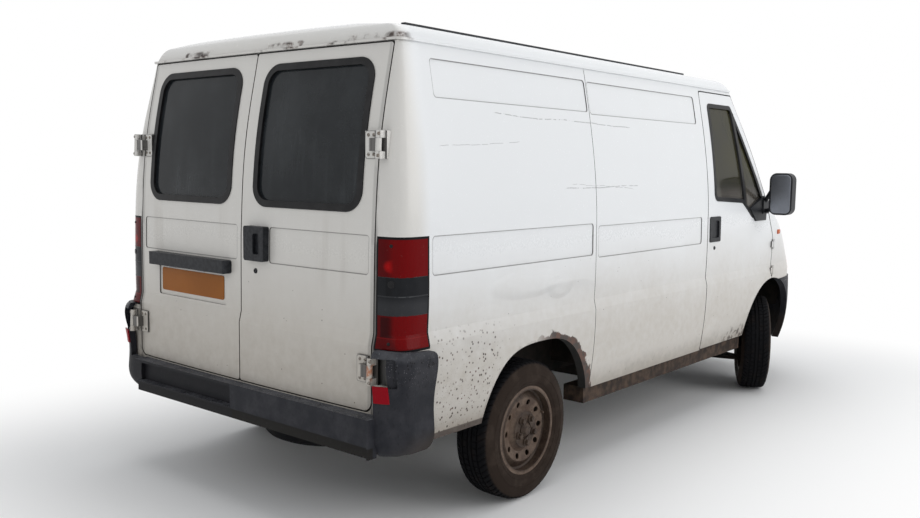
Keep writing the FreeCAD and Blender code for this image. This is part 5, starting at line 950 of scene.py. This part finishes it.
def tyre_shape():
    """One tyre about the Y axis, with grooves, slots and wall rings."""
    half = half_section()
    section = [(-across, radius, kind) for across, radius, kind in half[:0:-1]] + half
    rows = (0.0, 0.25, SLOT_START, SLOT_START + 0.02, SLOT_END - 0.02, SLOT_END)
    shape = bmesh.new()
    grid = []
    for pitch in range(PITCHES):
        for row, share in enumerate(rows):
            line = []
            for across, radius, kind in section:
                sunk = row in (3, 4)
                drop = 0.0
                if sunk and kind == "shoulder":
                    drop = SLOT_DEPTH if radius > TYRE_RADIUS - 0.010 else SHOULDER_SLOT_DEPTH
                if sunk and kind == "rib" and RIB_EDGES[0] < abs(across) < 0.045:
                    drop = SIPE_DEPTH
                slant = SLOT_SLANT * (abs(across) if kind == "shoulder" else SHOULDER_START)
                side_step = 0.5 if across > 0 and kind == "shoulder" else 0.0
                turn = 2 * math.pi * (pitch + share + side_step) / PITCHES + slant
                reach = radius - drop
                line.append(shape.verts.new((math.sin(turn) * reach, across, math.cos(turn) * reach)))
            grid.append(line)
    for low, high in zip(grid, grid[1:] + grid[:1]):
        for i in range(len(section) - 1):
            shape.faces.new((low[i], low[i + 1], high[i + 1], high[i]))
    for edge in (0, len(section) - 1):
        bead = [line[edge] for line in grid]
        inner = [shape.verts.new((v.co.x * 0.99, section[edge][0] * 0.97, v.co.z * 0.99)) for v in bead]
        bridge(shape, bead, inner)
    return shape


def on_wheel(made, corner, axle):
    """Moves a piece drawn about the Y axis onto a wheel's own axle, and lets it ride on the wheel."""
    turn = Matrix.Rotation(math.atan2(-axle.x, axle.y), 4, "Z")
    made.parent = None
    made.matrix_world = Matrix.Translation(middle("tyre_" + corner)) @ turn
    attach(made, "wheel_" + corner)


tyre_finish = tyre_rubber("tyre_rubber", TREAD_EDGE)
for corner, axle in WHEELS.items():
    tyre = piece("tread_" + corner, tyre_shape(), tyre_finish, "van_body", smooth=28.0)
    on_wheel(tyre, corner, axle)
    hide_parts("tyre_" + corner)
print("faces in a tyre:", len(tyre.data.polygons))

# %% [markdown]
# ## Wheel nuts and valves
# Five hexagon bolts hold each wheel, each on a round washer face, with a rubber valve near the edge of the
# disc. Six-sided profiles spun about the bolt's own line give crisp corners without any cutting.

# %% Wheel bolts
BOLT_CIRCLE = 0.059
BOLT_COUNT = 5
BOLT_FOOT = 0.0755
VALVE_REACH = 0.150
VALVE_FOOT = 0.045
VALVE_TURN = math.radians(68.0)


def wheel_fittings(side):
    """Bolt heads and valve of one wheel, in the wheel's own frame, with the outside along side * Y."""
    shape = bmesh.new()
    out = Vector((0.0, side, 0.0))
    for i in range(BOLT_COUNT):
        turn = 2 * math.pi * (i + 0.5) / BOLT_COUNT
        foot = Vector((BOLT_CIRCLE * math.sin(turn) * -side, side * BOLT_FOOT, BOLT_CIRCLE * math.cos(turn)))
        stand = standing(foot, out)
        turned(shape, ((0.0175, 0.0), (0.0175, 0.004), (0.0145, 0.007)), 24, stand)
        turned(shape, ((0.0138, 0.006), (0.0138, 0.0185), (0.0120, 0.0205), (0.0060, 0.0208)), 6, stand)
    foot = Vector((VALVE_REACH * math.sin(VALVE_TURN), side * VALVE_FOOT, VALVE_REACH * math.cos(VALVE_TURN)))
    turned(shape, ((0.0070, 0.0), (0.0070, 0.012), (0.0045, 0.018), (0.0042, 0.034), (0.0030, 0.036)), 14,
           standing(foot, out))
    return shape


for corner, axle in WHEELS.items():
    side = -1.0 if corner.endswith("right") else 1.0
    steel = wheel_steel("bolt_steel_" + corner, Vector((0.0, 0.0, 0.0)), Vector((0.0, 1.0, 0.0)))
    fittings = piece("wheel_bolts_" + corner, wheel_fittings(side), steel, "van_body",
                     smooth=30.0)
    on_wheel(fittings, corner, axle)
print("bolts:", BOLT_COUNT * len(WHEELS))

# %% [markdown]
# ## Hinge screws
# Each strap hinge leaf is held by four round-headed screws with a six-lobed socket. They are lathe parts
# with a star-shaped first ring. A ray from behind finds the leaf, so each head sits on it whatever its
# slant.

# %% Hinge screws
LEAF_SCREWS = ((0.771, 0.038), (0.800, 0.038), (0.771, -0.038), (0.800, -0.038))
PILLAR_SCREWS = ((0.858, 0.042), (0.858, -0.042))
SCREW_HEAD = ((0.0022, 0.0012), (0.0024, 0.0030), (0.0040, 0.0034), (0.0066, 0.0018), (0.0072, -0.0008))
PAST_BACK = rear(-1.2)
PAST_SIDE = 1.3


def from_back(node, y, z):
    """Point of a solid that is seen from behind at a width and height, and its facing."""
    return touch(node, (PAST_BACK, y, z), (1.0, 0.0, 0.0))


def from_side(node, side, x, z):
    """Point of a solid that is seen from beside the van, and its facing."""
    return touch(node, (x, side * PAST_SIDE, z), (0.0, -side, 0.0))


def screws(node, places):
    """Round-headed screws on the rear faces of a solid, at (y, z) places."""
    shape = bmesh.new()
    for y, z in places:
        place, facing = from_back(node, y, z)
        turned(shape, SCREW_HEAD, 18, standing(place, facing), waves=6, wave=0.22)
    return shape


for name, side in SIDES:
    places = [(side * y, z + up_from) for z in HINGE_LEAF_HEIGHTS for y, up_from in LEAF_SCREWS]
    piece("hinge_screws_" + name, screws("rear_door_" + name, places), FINISHES["screw_steel"],
          "rear_door_" + name + "_body")
places = []
for name, side in SIDES:
    places += [(side * y, z + up_from) for z in HINGE_LEAF_HEIGHTS for y, up_from in PILLAR_SCREWS]
pillar_screws = screws("pillar_hinge_leaves", places)
piece("pillar_screws", pillar_screws, FINISHES["screw_steel"], "van_body")
print("hinge screws:", 2 * len(HINGE_LEAF_HEIGHTS) * len(LEAF_SCREWS) + len(places))

# %% [markdown]
# ## Lamp screws and bulbs
# Two screws hold each tail lamp, top and bottom, and the bulb's dark socket shows behind the smoked part.
# The screws are real heads on the lens. The socket is a shallow dish let into it, since the lens is one
# solid.

# %% Tail lamp details
LAMP_SCREW_HEIGHTS = (1.240, 0.857)
LAMP_SCREW_Y = 0.905
BULB_PLACE = (0.908, 1.090)
RIB_BACK = (0.846, 0.870, 0.895, 0.915, 0.930)
RIB_SIDE = (-0.885, -0.870, -0.840, -0.800, -0.770, -0.735)
RIB_RADIUS = 0.0014
for name, side in SIDES:
    shape = screws("tail_lamps", [(side * LAMP_SCREW_Y, z) for z in LAMP_SCREW_HEIGHTS])
    piece("lamp_screws_" + name, shape, FINISHES["seal_rubber"], "van_body")
    shape = bmesh.new()
    place, facing = from_back("tail_lamps", side * BULB_PLACE[0], BULB_PLACE[1])
    turned(shape, ((0.006, 0.0016), (0.010, 0.0004), (0.013, 0.0016), (0.015, 0.0004), (0.015, -0.001)), 24,
           standing(place, facing))
    piece("bulb_" + name, shape, FINISHES["seal_rubber"], "van_body")
    shape = bmesh.new()
    for z in (SMOKE_TOP, SMOKE_RIB, SMOKE_BOTTOM):
        path = [from_back("tail_lamps", side * y, z)[0] for y in RIB_BACK]
        path += [from_side("tail_lamps", side, rear(x), z)[0] for x in RIB_SIDE]
        tube(shape, path, RIB_RADIUS, 6)
    piece("lamp_ribs_" + name, shape, FINISHES["dark_plastic"], "van_body")
print("lamp details done")

# %% [markdown]
# ## Locks, repeaters and the sliding door's handle
# Black lock barrels sit under the handles, a small orange repeater on each wing, and the sliding door on
# the left has its own handle of the same moulding as the front door's, so that mesh is copied along the
# van, with a dark cup behind it.

# %% Locks
LOCK_PROFILE = ((0.0030, 0.0010), (0.0038, 0.0042), (0.0085, 0.0048), (0.0105, 0.0036), (0.0125, -0.001))


REAR_LOCK = (-0.104, 1.078)
FRONT_LOCK = (rear(1.935), 1.062)


def lock(name, found, body):
    """Round lock barrel with a raised rim, on a point of a panel and its facing."""
    shape = bmesh.new()
    turned(shape, LOCK_PROFILE, 24, standing(*found), waves=2, wave=0.3)
    piece(name, shape, FINISHES["dark_plastic"], body)


lock("rear_lock", from_back("rear_door_right", *REAR_LOCK), "rear_door_right_body")
for name, side in SIDES:
    found = from_side("front_door_" + name, side, *FRONT_LOCK)
    lock("front_lock_" + name, found, "front_door_" + name + "_body")

# %% Side repeaters
REPEATER_PLACE = (rear(3.002), 1.112)
REPEATER_SIZE = (0.058, 0.014, 0.032)
for name, side in SIDES:
    shape = bmesh.new()
    place, facing = from_side("front_wings", side, *REPEATER_PLACE)
    stand = Matrix.Translation(place) @ Matrix.Rotation(math.atan2(facing.y, facing.x) - math.pi / 2, 4, "Z")
    block(shape, REPEATER_SIZE, stand, 0.006, 3)
    piece("repeater_" + name, shape, FINISHES["orange_lens"], "van_body")

# %% Sliding door handle
SLIDE_HANDLE_BACK = 0.292
CUP_MARGIN = 0.012
handle_mesh = nodes["front_handle_left"].data.copy()
handle_mesh.transform(Matrix.Translation((-SLIDE_HANDLE_BACK, 0.0, 0.0)))
handle_mesh.materials.clear()
handle_mesh.materials.append(FINISHES["dark_plastic"])
slide_handle = in_scene("sliding_door_handle", handle_mesh)
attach(slide_handle, "van_body")
handle_low, handle_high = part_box("front_handle_left")
handle_middle = (handle_low + handle_high) / 2 - Vector((SLIDE_HANDLE_BACK, 0.0, 0.0))
place, facing = from_side("sliding_door", 1.0, handle_middle.x, handle_middle.z)
shape = bmesh.new()
cup_size = (handle_high.x - handle_low.x - CUP_MARGIN, 0.004, handle_high.z - handle_low.z - CUP_MARGIN)
block(shape, cup_size, standing(place, facing) @ Matrix.Rotation(math.pi / 2, 4, "X"), 0.0015)
piece("sliding_door_cup", shape, FINISHES["seal_rubber"], "van_body")
print("locks, repeaters and handle done")

# %% [markdown]
# ## Window rubbers
# The cab windows and the windscreen are held in black rubber. Its shape follows the edge of the pane, which
# the CAD pane already has: the outer faces of the pane are copied, their rim is set inwards to give a band,
# and the band is raised a little. So it bends with the glass, and needs no line of its own.

# %% Rubber bands round the panes
RUBBER_WIDTH = 0.026
RUBBER_RAISED = 0.011
SCREEN_RUBBER_WIDTH = 0.034
SCREEN_RUBBER_RAISED = 0.010
SCREEN_SLANT = math.radians(35.0)
SCREEN_WAY = Vector((math.cos(SCREEN_SLANT), 0.0, math.sin(SCREEN_SLANT)))


def rim_band(node, outward, width, raised):
    """Band round the outside of a pane, raised from it."""
    shape = bmesh.new()
    shape.from_mesh(nodes[node].data)
    bmesh.ops.remove_doubles(shape, verts=shape.verts[:], dist=WELD)
    hidden = [face for face in shape.faces if face.normal.dot(outward) < 0.3]
    bmesh.ops.delete(shape, geom=hidden, context="FACES")
    bmesh.ops.dissolve_limit(shape, angle_limit=math.radians(0.5), verts=shape.verts[:], edges=shape.edges[:])
    made = bmesh.ops.inset_region(shape, faces=shape.faces[:], thickness=width, use_even_offset=True,
                                  use_boundary=True)
    band = set(made["faces"])
    bmesh.ops.delete(shape, geom=[face for face in shape.faces if face not in band], context="FACES")
    shape.normal_update()
    raised_faces = bmesh.ops.extrude_face_region(shape, geom=shape.faces[:])
    top = [part for part in raised_faces["geom"] if isinstance(part, bmesh.types.BMVert)]
    bmesh.ops.translate(shape, vec=Vector(outward) * raised, verts=top)
    return shape


for name, side in SIDES:
    band = rim_band("front_glass_" + name, Vector((0.0, side, 0.0)), RUBBER_WIDTH, RUBBER_RAISED)
    piece("window_rubber_" + name, band, FINISHES["seal_rubber"], "front_door_" + name + "_body")
band = rim_band("windscreen", SCREEN_WAY, SCREEN_RUBBER_WIDTH, SCREEN_RUBBER_RAISED)
piece("screen_rubber", band, FINISHES["seal_rubber"], "van_body", smooth=50.0)
print("rubber bands done")

# %% [markdown]
# ## Door window bar and mirror mount
# A black bar divides the sliding pane from the small fixed pane in front of it, and a black plate in the
# corner carries the mirror. The bar is a run of points on the pane, found by rays, with a flat strip laid
# along it.

# %% Window bars
BAR_TOP = Vector((rear(2.285), 1.905))
BAR_FOOT = Vector((rear(2.395), 1.315))
BAR_HALF = 0.020
BAR_RAISED = 0.012
BAR_STEPS = 8

for name, side in SIDES:
    shape = bmesh.new()
    rings = []
    for i in range(BAR_STEPS + 1):
        place, facing = from_side("front_glass_" + name, side, *BAR_TOP.lerp(BAR_FOOT, i / BAR_STEPS))
        ring = []
        for shift, lift in ((-1.0, 0.0), (-0.8, BAR_RAISED), (0.8, BAR_RAISED), (1.0, 0.0)):
            ring.append(shape.verts.new(place + Vector((shift * BAR_HALF, side * lift, 0.0))))
        rings.append(ring)
    skin(shape, rings)
    piece("window_bar_" + name, shape, FINISHES["seal_rubber"], "front_door_" + name + "_body")
print("window bars done")

# %% Mirror mount plates
PLATE_POINTS = ((rear(2.470), 1.290), (rear(2.560), 1.205), (rear(2.725), 1.205), (rear(2.735), 1.300),
                (rear(2.690), 1.370))
PLATE_THICK = 0.014
PLATE_SUNK = 0.004
DOOR_SKIN = 0.85
for name, side in SIDES:
    shape = bmesh.new()
    inner = []
    outer = []
    for x, z in PLATE_POINTS:
        place, facing = from_side("front_door_" + name, side, x, z)
        if place is None or abs(place.y) < DOOR_SKIN:
            place, facing = from_side("front_glass_" + name, side, x, z)
        if place:
            inner.append(shape.verts.new(place - Vector((0.0, side * PLATE_SUNK, 0.0))))
            outer.append(shape.verts.new(place + Vector((0.0, side * PLATE_THICK, 0.0))))
    skin(shape, (inner, outer))
    piece("mirror_plate_" + name, shape, FINISHES["dark_plastic"], "front_door_" + name + "_body")
print("mirror plates done")

# %% [markdown]
# ## Mirror glass
# The mirror's rounded housing is CAD. The glass is a thin plate let into its rear face, with rounded
# corners and a polished edge. It is cut as a rounded outline and given thickness, then its finish makes it
# silvered and wet.

# %% Mirror panes
MIRROR_INNER = 1.040
MIRROR_OUTER = 1.192
MIRROR_LOW = 1.250
MIRROR_HIGH = 1.526
MIRROR_MARGIN = 0.011
MIRROR_ROUND = 0.030
ROUND_STEPS = 8


def rounded_outline(half_width, half_height, radius, steps):
    """Points of a rounded rectangle about the origin."""
    points = []
    for turn, (x, y) in enumerate(((1, 1), (-1, 1), (-1, -1), (1, -1))):
        for step in range(steps + 1):
            angle = math.pi / 2 * (turn + step / steps)
            points.append((x * (half_width - radius) + radius * math.cos(angle),
                           y * (half_height - radius) + radius * math.sin(angle)))
    return points


outline = rounded_outline((MIRROR_OUTER - MIRROR_INNER) / 2 - MIRROR_MARGIN,
                          (MIRROR_HIGH - MIRROR_LOW) / 2 - MIRROR_MARGIN, MIRROR_ROUND, ROUND_STEPS)
for name, side in SIDES:
    centre_y = side * (MIRROR_INNER + MIRROR_OUTER) / 2
    shape = bmesh.new()
    place, facing = from_back("mirror_" + name, centre_y, (MIRROR_LOW + MIRROR_HIGH) / 2)
    rings = []
    for grow, lift in ((0.0, 0.001), (0.0, -0.002), (-0.004, -0.0035)):
        ring = []
        for across, up_from in outline:
            reach = math.hypot(across, up_from)
            share = (reach + grow) / reach
            point = (place.x + lift, centre_y + across * share, place.z + up_from * share)
            ring.append(shape.verts.new(point))
        rings.append(ring)
    skin(shape, rings)
    piece("mirror_glass_" + name, shape, FINISHES["mirror_glass"], "front_door_" + name + "_body",
          smooth=20.0)
    print("mirror glass", name, "at", [round(v, 3) for v in place])

# %% [markdown]
# ## Wipers
# Two arms rise from the cowl and lay their blades along the foot of the windscreen. Arm and blade are bent
# bars, so each is a short run of points on the glass, found by rays, with a round or flat bar laid along
# it.

# %% Wipers
WIPERS = (("right", -0.52, 0.12), ("left", 0.10, 0.72))
BLADE_STEPS = 8
BLADE_HEIGHT = 1.325
BLADE_RISE = 0.0225
BLADE_RAISED = 0.016
AHEAD_OF_NOSE = 1.4
AIM_SHARE = 0.9


def on_screen(y, z, raised):
    """Point in front of the windscreen at a width and height."""
    start = Vector((front(AHEAD_OF_NOSE), y, z + AHEAD_OF_NOSE * math.tan(SCREEN_SLANT) * AIM_SHARE))
    place, facing = touch("windscreen", start, -SCREEN_WAY)
    return place + SCREEN_WAY * raised if place else None


for name, root_y, tip_y in WIPERS:
    shape = bmesh.new()
    blade = []
    for i in range(BLADE_STEPS + 1):
        share = i / BLADE_STEPS
        bow = BLADE_RISE * math.sin(math.pi * share)
        found = on_screen(root_y + (tip_y - root_y) * share, BLADE_HEIGHT + bow, BLADE_RAISED)
        if found:
            blade.append(found)
    tube(shape, blade, 0.006, 8)
    spine = [point + SCREEN_WAY * 0.010 for point in blade]
    tube(shape, spine[1:-1], 0.0045, 8)
    pivot, facing = touch("cab_floor", (front(0.13), root_y - 0.06, 1.6), (0.0, 0.0, -1.0))
    pivot = pivot if pivot else blade[0]
    arm = [pivot + Vector((0.0, 0.0, 0.010)), pivot + Vector((0.0, 0.010, 0.028)),
           (pivot + spine[3]) / 2 + SCREEN_WAY * 0.022, spine[3] + SCREEN_WAY * 0.006, spine[4]]
    tube(shape, arm, 0.0075, 8)
    turned(shape, ((0.016, -0.012), (0.018, 0.006), (0.012, 0.016), (0.006, 0.018)), 18,
           standing(pivot, (0.0, 0.0, 1.0)))
    piece("wiper_" + name, shape, FINISHES["dark_plastic"], "van_body")
    print("wiper", name, "blade points", len(blade))

# %% [markdown]
# ## Plates and plate lamps
# The rear plate is blank amber-brown card on the door; its lamps are two clear lenses under the black bar
# above it. The front bumper carries a blank pale plate. The plates are thin blocks with rounded edges, set
# on what holds them.

# %% Plates
PLATE_LAMP_Y = (0.270, 0.500)
PLATE_LAMP_SIZE = (0.022, 0.055, 0.008)
FRONT_PLATE_SIZE = (0.006, 0.520, 0.111)
FRONT_PLATE_HEIGHT = 0.585
shape = bmesh.new()
bar_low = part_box("lamp_bar")[0]
for y in PLATE_LAMP_Y:
    place = Vector((bar_low.x + 0.022, y, bar_low.z - 0.001))
    block(shape, PLATE_LAMP_SIZE, Matrix.Translation(place), 0.002)
piece("plate_lamps", shape, FINISHES["mirror_glass"], "rear_door_left_body")
shape = bmesh.new()
place, facing = touch("front_bumper", (front(1.5), 0.0, FRONT_PLATE_HEIGHT), (-1.0, 0.0, 0.0))
block(shape, FRONT_PLATE_SIZE, Matrix.Translation(place + Vector((-0.0005, 0.0, 0.0))), 0.002)
plate_white = dull("plate_white", rgb(0.62, 0.62, 0.60), rgb(0.45, 0.43, 0.40), 0.4, 7.0, strength=0.03)
piece("front_plate", shape, plate_white, "van_body")
print("front plate at", [round(v, 3) for v in place])

# %% [markdown]
# ## Seats
# A van seat is foam in a sewn cloth cover: crowned in the middle, pulled in at its edges and flat where it
# rests. It could be a block with a soft shader, but the outline would stay hard. Here each cushion is a
# block, evenly meshed by a remesh, then blown up a little by the cloth solver with pressure and held back
# by a cap. Seams come after that.

# %% Blown cushions
CLOTH_FRAMES = 14
PRESSURE = 3.5
VOXEL = 0.014
PUFF = 0.018


def blown(name, size, matrix, cap):
    """Cushion that fills its block: rounded, remeshed, blown by cloth pressure, and capped."""
    shape = bmesh.new()
    slim = [length - 2 * cap * 0.7 for length in size]
    block(shape, slim, Matrix.Identity(4), min(slim) * 0.22, 3)
    made = in_scene(name, to_mesh(name, shape))
    remesh = made.modifiers.new("even_mesh", "REMESH")
    remesh.mode = "VOXEL"
    remesh.voxel_size = VOXEL
    bpy.context.view_layer.update()
    even = bpy.data.meshes.new_from_object(made.evaluated_get(bpy.context.evaluated_depsgraph_get()))
    made.modifiers.clear()
    made.data = even
    start = [vertex.co.copy() for vertex in even.vertices]
    cloth = made.modifiers.new("foam", "CLOTH")
    cloth.settings.use_pressure = True
    cloth.settings.uniform_pressure_force = PRESSURE
    cloth.settings.effector_weights.gravity = 0.0
    cloth.point_cache.frame_start = 1
    cloth.point_cache.frame_end = CLOTH_FRAMES
    for step in range(1, CLOTH_FRAMES + 1):
        bpy.context.scene.frame_set(step)
    puffed = bpy.data.meshes.new_from_object(made.evaluated_get(bpy.context.evaluated_depsgraph_get()))
    made.modifiers.clear()
    made.data = puffed
    for vertex, first in zip(puffed.vertices, start):
        move = vertex.co - first
        if move.length > cap:
            vertex.co = first + move * (cap / move.length)
    bpy.context.scene.frame_set(1)
    smoothed(made.data)
    made.data.transform(matrix)
    return made


# %% Seams and covers
CHANNELS = (-0.28, 0.28)
CHANNEL_DEPTH = 0.010
CHANNEL_WIDTH = 0.014


def grooved(mesh, lines, axis, depth, width):
    """Presses sewn channels into a cushion: straight lines across one axis."""
    for vertex in mesh.vertices:
        for line in lines:
            away = abs(vertex.co[axis] - line) / width
            if away < 1.0:
                vertex.co += vertex.normal * (-depth * (1.0 - away * away))


def cushion(name, low, high, lean=0.0, channels=CHANNELS):
    """One padded piece of a seat between two corners, leaning back by an angle, with sewn channels."""
    size = Vector(high) - Vector(low)
    centre = (Vector(high) + Vector(low)) / 2
    matrix = Matrix.Translation(centre) @ Matrix.Rotation(lean, 4, "Y")
    made = blown(name, size, matrix, PUFF)
    grooved(made.data, [centre.y + share * size.y for share in channels], 1, CHANNEL_DEPTH, CHANNEL_WIDTH)
    smooth = made.modifiers.new("soft", "SUBSURF")
    smooth.levels = 1
    smooth.render_levels = 1
    made.data.materials.append(FINISHES["seat_cloth"])
    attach(made, "van_body")


# %% Driver seat and double bench
SEATS = (("driver", 1), ("bench", 2))
SEAT_BASE_TOP = 0.850
SEAT_BACK = front(-1.035)
SEAT_FRONT = front(-0.520)
SEAT_GAP = 0.006
CUSHION_TOP = SEAT_BASE_TOP + 0.126
BACKREST_FOOT = SEAT_BASE_TOP + 0.120
BACKREST_LEAN = math.radians(-9.0)
HEADREST_HALF = 0.135
for name, places in SEATS:
    low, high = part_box(name + "_seat")
    width = (high.y - low.y) / places
    for i in range(places):
        left = low.y + i * width + SEAT_GAP
        right_edge = left + width - 2 * SEAT_GAP
        middle_y = (left + right_edge) / 2
        tag = name + "_" + str(i + 1)
        cushion("cushion_" + tag, (SEAT_BACK + 0.085, left, SEAT_BASE_TOP - 0.004),
                (SEAT_FRONT - 0.004, right_edge, CUSHION_TOP))
        cushion("backrest_" + tag, (SEAT_BACK + 0.040, left, BACKREST_FOOT),
                (SEAT_BACK + 0.165, right_edge, high.z - 0.155), lean=BACKREST_LEAN)
        cushion("headrest_" + tag, (SEAT_BACK + 0.008, middle_y - HEADREST_HALF, high.z - 0.150),
                (SEAT_BACK + 0.098, middle_y + HEADREST_HALF, high.z - 0.006), channels=())
    shape = bmesh.new()
    base_middle = Vector(((SEAT_BACK + SEAT_FRONT) / 2, (low.y + high.y) / 2, (low.z + SEAT_BASE_TOP) / 2))
    base_size = (SEAT_FRONT - SEAT_BACK - 0.10, high.y - low.y - 0.07, SEAT_BASE_TOP - low.z - 0.002)
    block(shape, base_size, Matrix.Translation(base_middle), 0.018, 3)
    base = piece("seat_base_" + name, shape, FINISHES["cab_trim"], "van_body")
    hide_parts(name + "_seat")
print("seats:", len(SEATS))

# %% [markdown]
# ## Cab details
# Through the windows the dash shows an instrument hood, air vents and a gear lever. They are blocks and
# turned parts, since only their outlines show through the glass.

# %% Dash and gear lever
HOOD_SIZE = (0.190, 0.340, 0.075)
HOOD_PLACE = (front(-0.115), -0.420, 1.187)
VENT_SIZE = (0.030, 0.130, 0.060)
VENT_PLACES = [(front(-0.222), y, 1.075) for y in (-0.70, -0.12, 0.12, 0.70)]
LEVER_PATH = ((front(-0.250), -0.10, 0.940), (front(-0.300), -0.11, 1.010), (front(-0.330), -0.12, 1.080))
shape = bmesh.new()
block(shape, HOOD_SIZE, Matrix.Translation(HOOD_PLACE), 0.022, 4)
for place in VENT_PLACES:
    block(shape, VENT_SIZE, Matrix.Translation(place), 0.008, 2)
piece("dash_hood", shape, FINISHES["cab_trim"], "van_body")
shape = bmesh.new()
lever = [Vector(place) for place in LEVER_PATH]
tube(shape, lever, 0.007, 10)
turned(shape, ((0.010, -0.004), (0.020, 0.008), (0.024, 0.022), (0.020, 0.038), (0.008, 0.046)), 18,
       standing(lever[-1], lever[-1] - lever[-2]))
turned(shape, ((0.045, 0.0), (0.034, 0.020), (0.016, 0.040), (0.010, 0.050)), 18,
       standing(lever[0], lever[-1] - lever[0]))
piece("gear_lever", shape, FINISHES["cab_trim"], "van_body")
print("cab details done")

# %% [markdown]
# ## Floor, sky and lamps
# The floor is a pale sheet that fades to plain white far from the van, so no horizon shows, and it keeps
# the van's shadow. The sky is white to the camera, in reflections and through glass, and lights the van
# less than it shows. Three broad area lamps, at the side, behind and above, stand in for an overcast day:
# the side gets the most.

# %% Floor
FLOOR_HALF = 40.0
FADE_START = 0.15
FADE_END = 1.9
VAN_HALF_LENGTH = 2.33
VAN_HALF_WIDTH = 0.95
SHOWN_RAYS = ("Is Camera Ray", "Is Glossy Ray", "Is Transmission Ray")

floor_mesh = bpy.data.meshes.new("floor")
corners = [(x * FLOOR_HALF, y * FLOOR_HALF, 0.0) for x, y in ((-1, -1), (1, -1), (1, 1), (-1, 1))]
floor_mesh.from_pydata(corners, [], [(0, 1, 2, 3)])
floor = in_scene("floor", floor_mesh)

sheet = Finish("floor_sheet", Base_Color=rgb(0.90, 0.90, 0.90), Roughness=0.9)
x, y, z = sheet.parts(sheet.place())
past_ends = (abs(x) - VAN_HALF_LENGTH).most(0.0)
past_sides = (abs(y) - VAN_HALF_WIDTH).most(0.0)
away = (past_ends * past_ends + past_sides * past_sides) ** 0.5
seen, mirrored, through = [sheet.node("ShaderNodeLightPath", {}, {}, ray) for ray in SHOWN_RAYS]
white = sheet.node("ShaderNodeEmission", {}, {"Color": rgb(1.0, 1.0, 1.0), "Strength": 1.0})
fade = away.rise(FADE_START, FADE_END) * seen.most(mirrored).most(through)
plain = Wire(sheet, sheet.shader.outputs[0])
blended = sheet.node("ShaderNodeMixShader", {}, {0: fade, 1: plain, 2: white})
sheet.tree.links.new(blended.socket, sheet.output.inputs[0])
floor_mesh.materials.append(sheet.material)
print("floor:", 2 * FLOOR_HALF, "m across, plain white from", FADE_END, "m off the van")

# %% Sky
SKY_LIGHT = 0.54
world = bpy.data.worlds.new("studio")
bpy.context.scene.world = world
world.use_nodes = True
sky = world.node_tree
sky.nodes.clear()
path = sky.nodes.new("ShaderNodeLightPath")
seen = path.outputs[SHOWN_RAYS[0]]
for ray in SHOWN_RAYS[1:]:
    either = sky.nodes.new("ShaderNodeMath")
    either.operation = "MAXIMUM"
    sky.links.new(seen, either.inputs[0])
    sky.links.new(path.outputs[ray], either.inputs[1])
    seen = either.outputs[0]
lit = sky.nodes.new("ShaderNodeBackground")
lit.inputs["Color"].default_value = rgb(0.96, 0.98, 1.0)
lit.inputs["Strength"].default_value = SKY_LIGHT
shown = sky.nodes.new("ShaderNodeBackground")
shown.inputs["Color"].default_value = rgb(1.0, 1.0, 1.0)
shown.inputs["Strength"].default_value = 1.0
choice = sky.nodes.new("ShaderNodeMixShader")
sky.links.new(seen, choice.inputs[0])
sky.links.new(lit.outputs[0], choice.inputs[1])
sky.links.new(shown.outputs[0], choice.inputs[2])
sky_out = sky.nodes.new("ShaderNodeOutputWorld")
sky.links.new(choice.outputs[0], sky_out.inputs[0])
print("sky light", SKY_LIGHT)

# %% Lamps
AIM = Vector((0.0, 0.0, 1.0))


def lamp(name, place, size, watts):
    """Broad soft lamp aimed at the middle of the van."""
    data = bpy.data.lights.new(name, "AREA")
    data.size = size
    data.energy = watts
    made = in_scene(name, data)
    made.location = place
    made.rotation_mode = "QUATERNION"
    made.rotation_quaternion = (AIM - Vector(place)).to_track_quat("-Z", "Y")


lamp("side_lamp", (2.5, -9.0, 5.0), 7.0, 312.0)
lamp("rear_lamp", (-9.0, -1.0, 4.5), 6.0, 50.0)
lamp("top_lamp", (0.0, 0.0, 9.0), 8.0, 260.0)
print("studio ready")
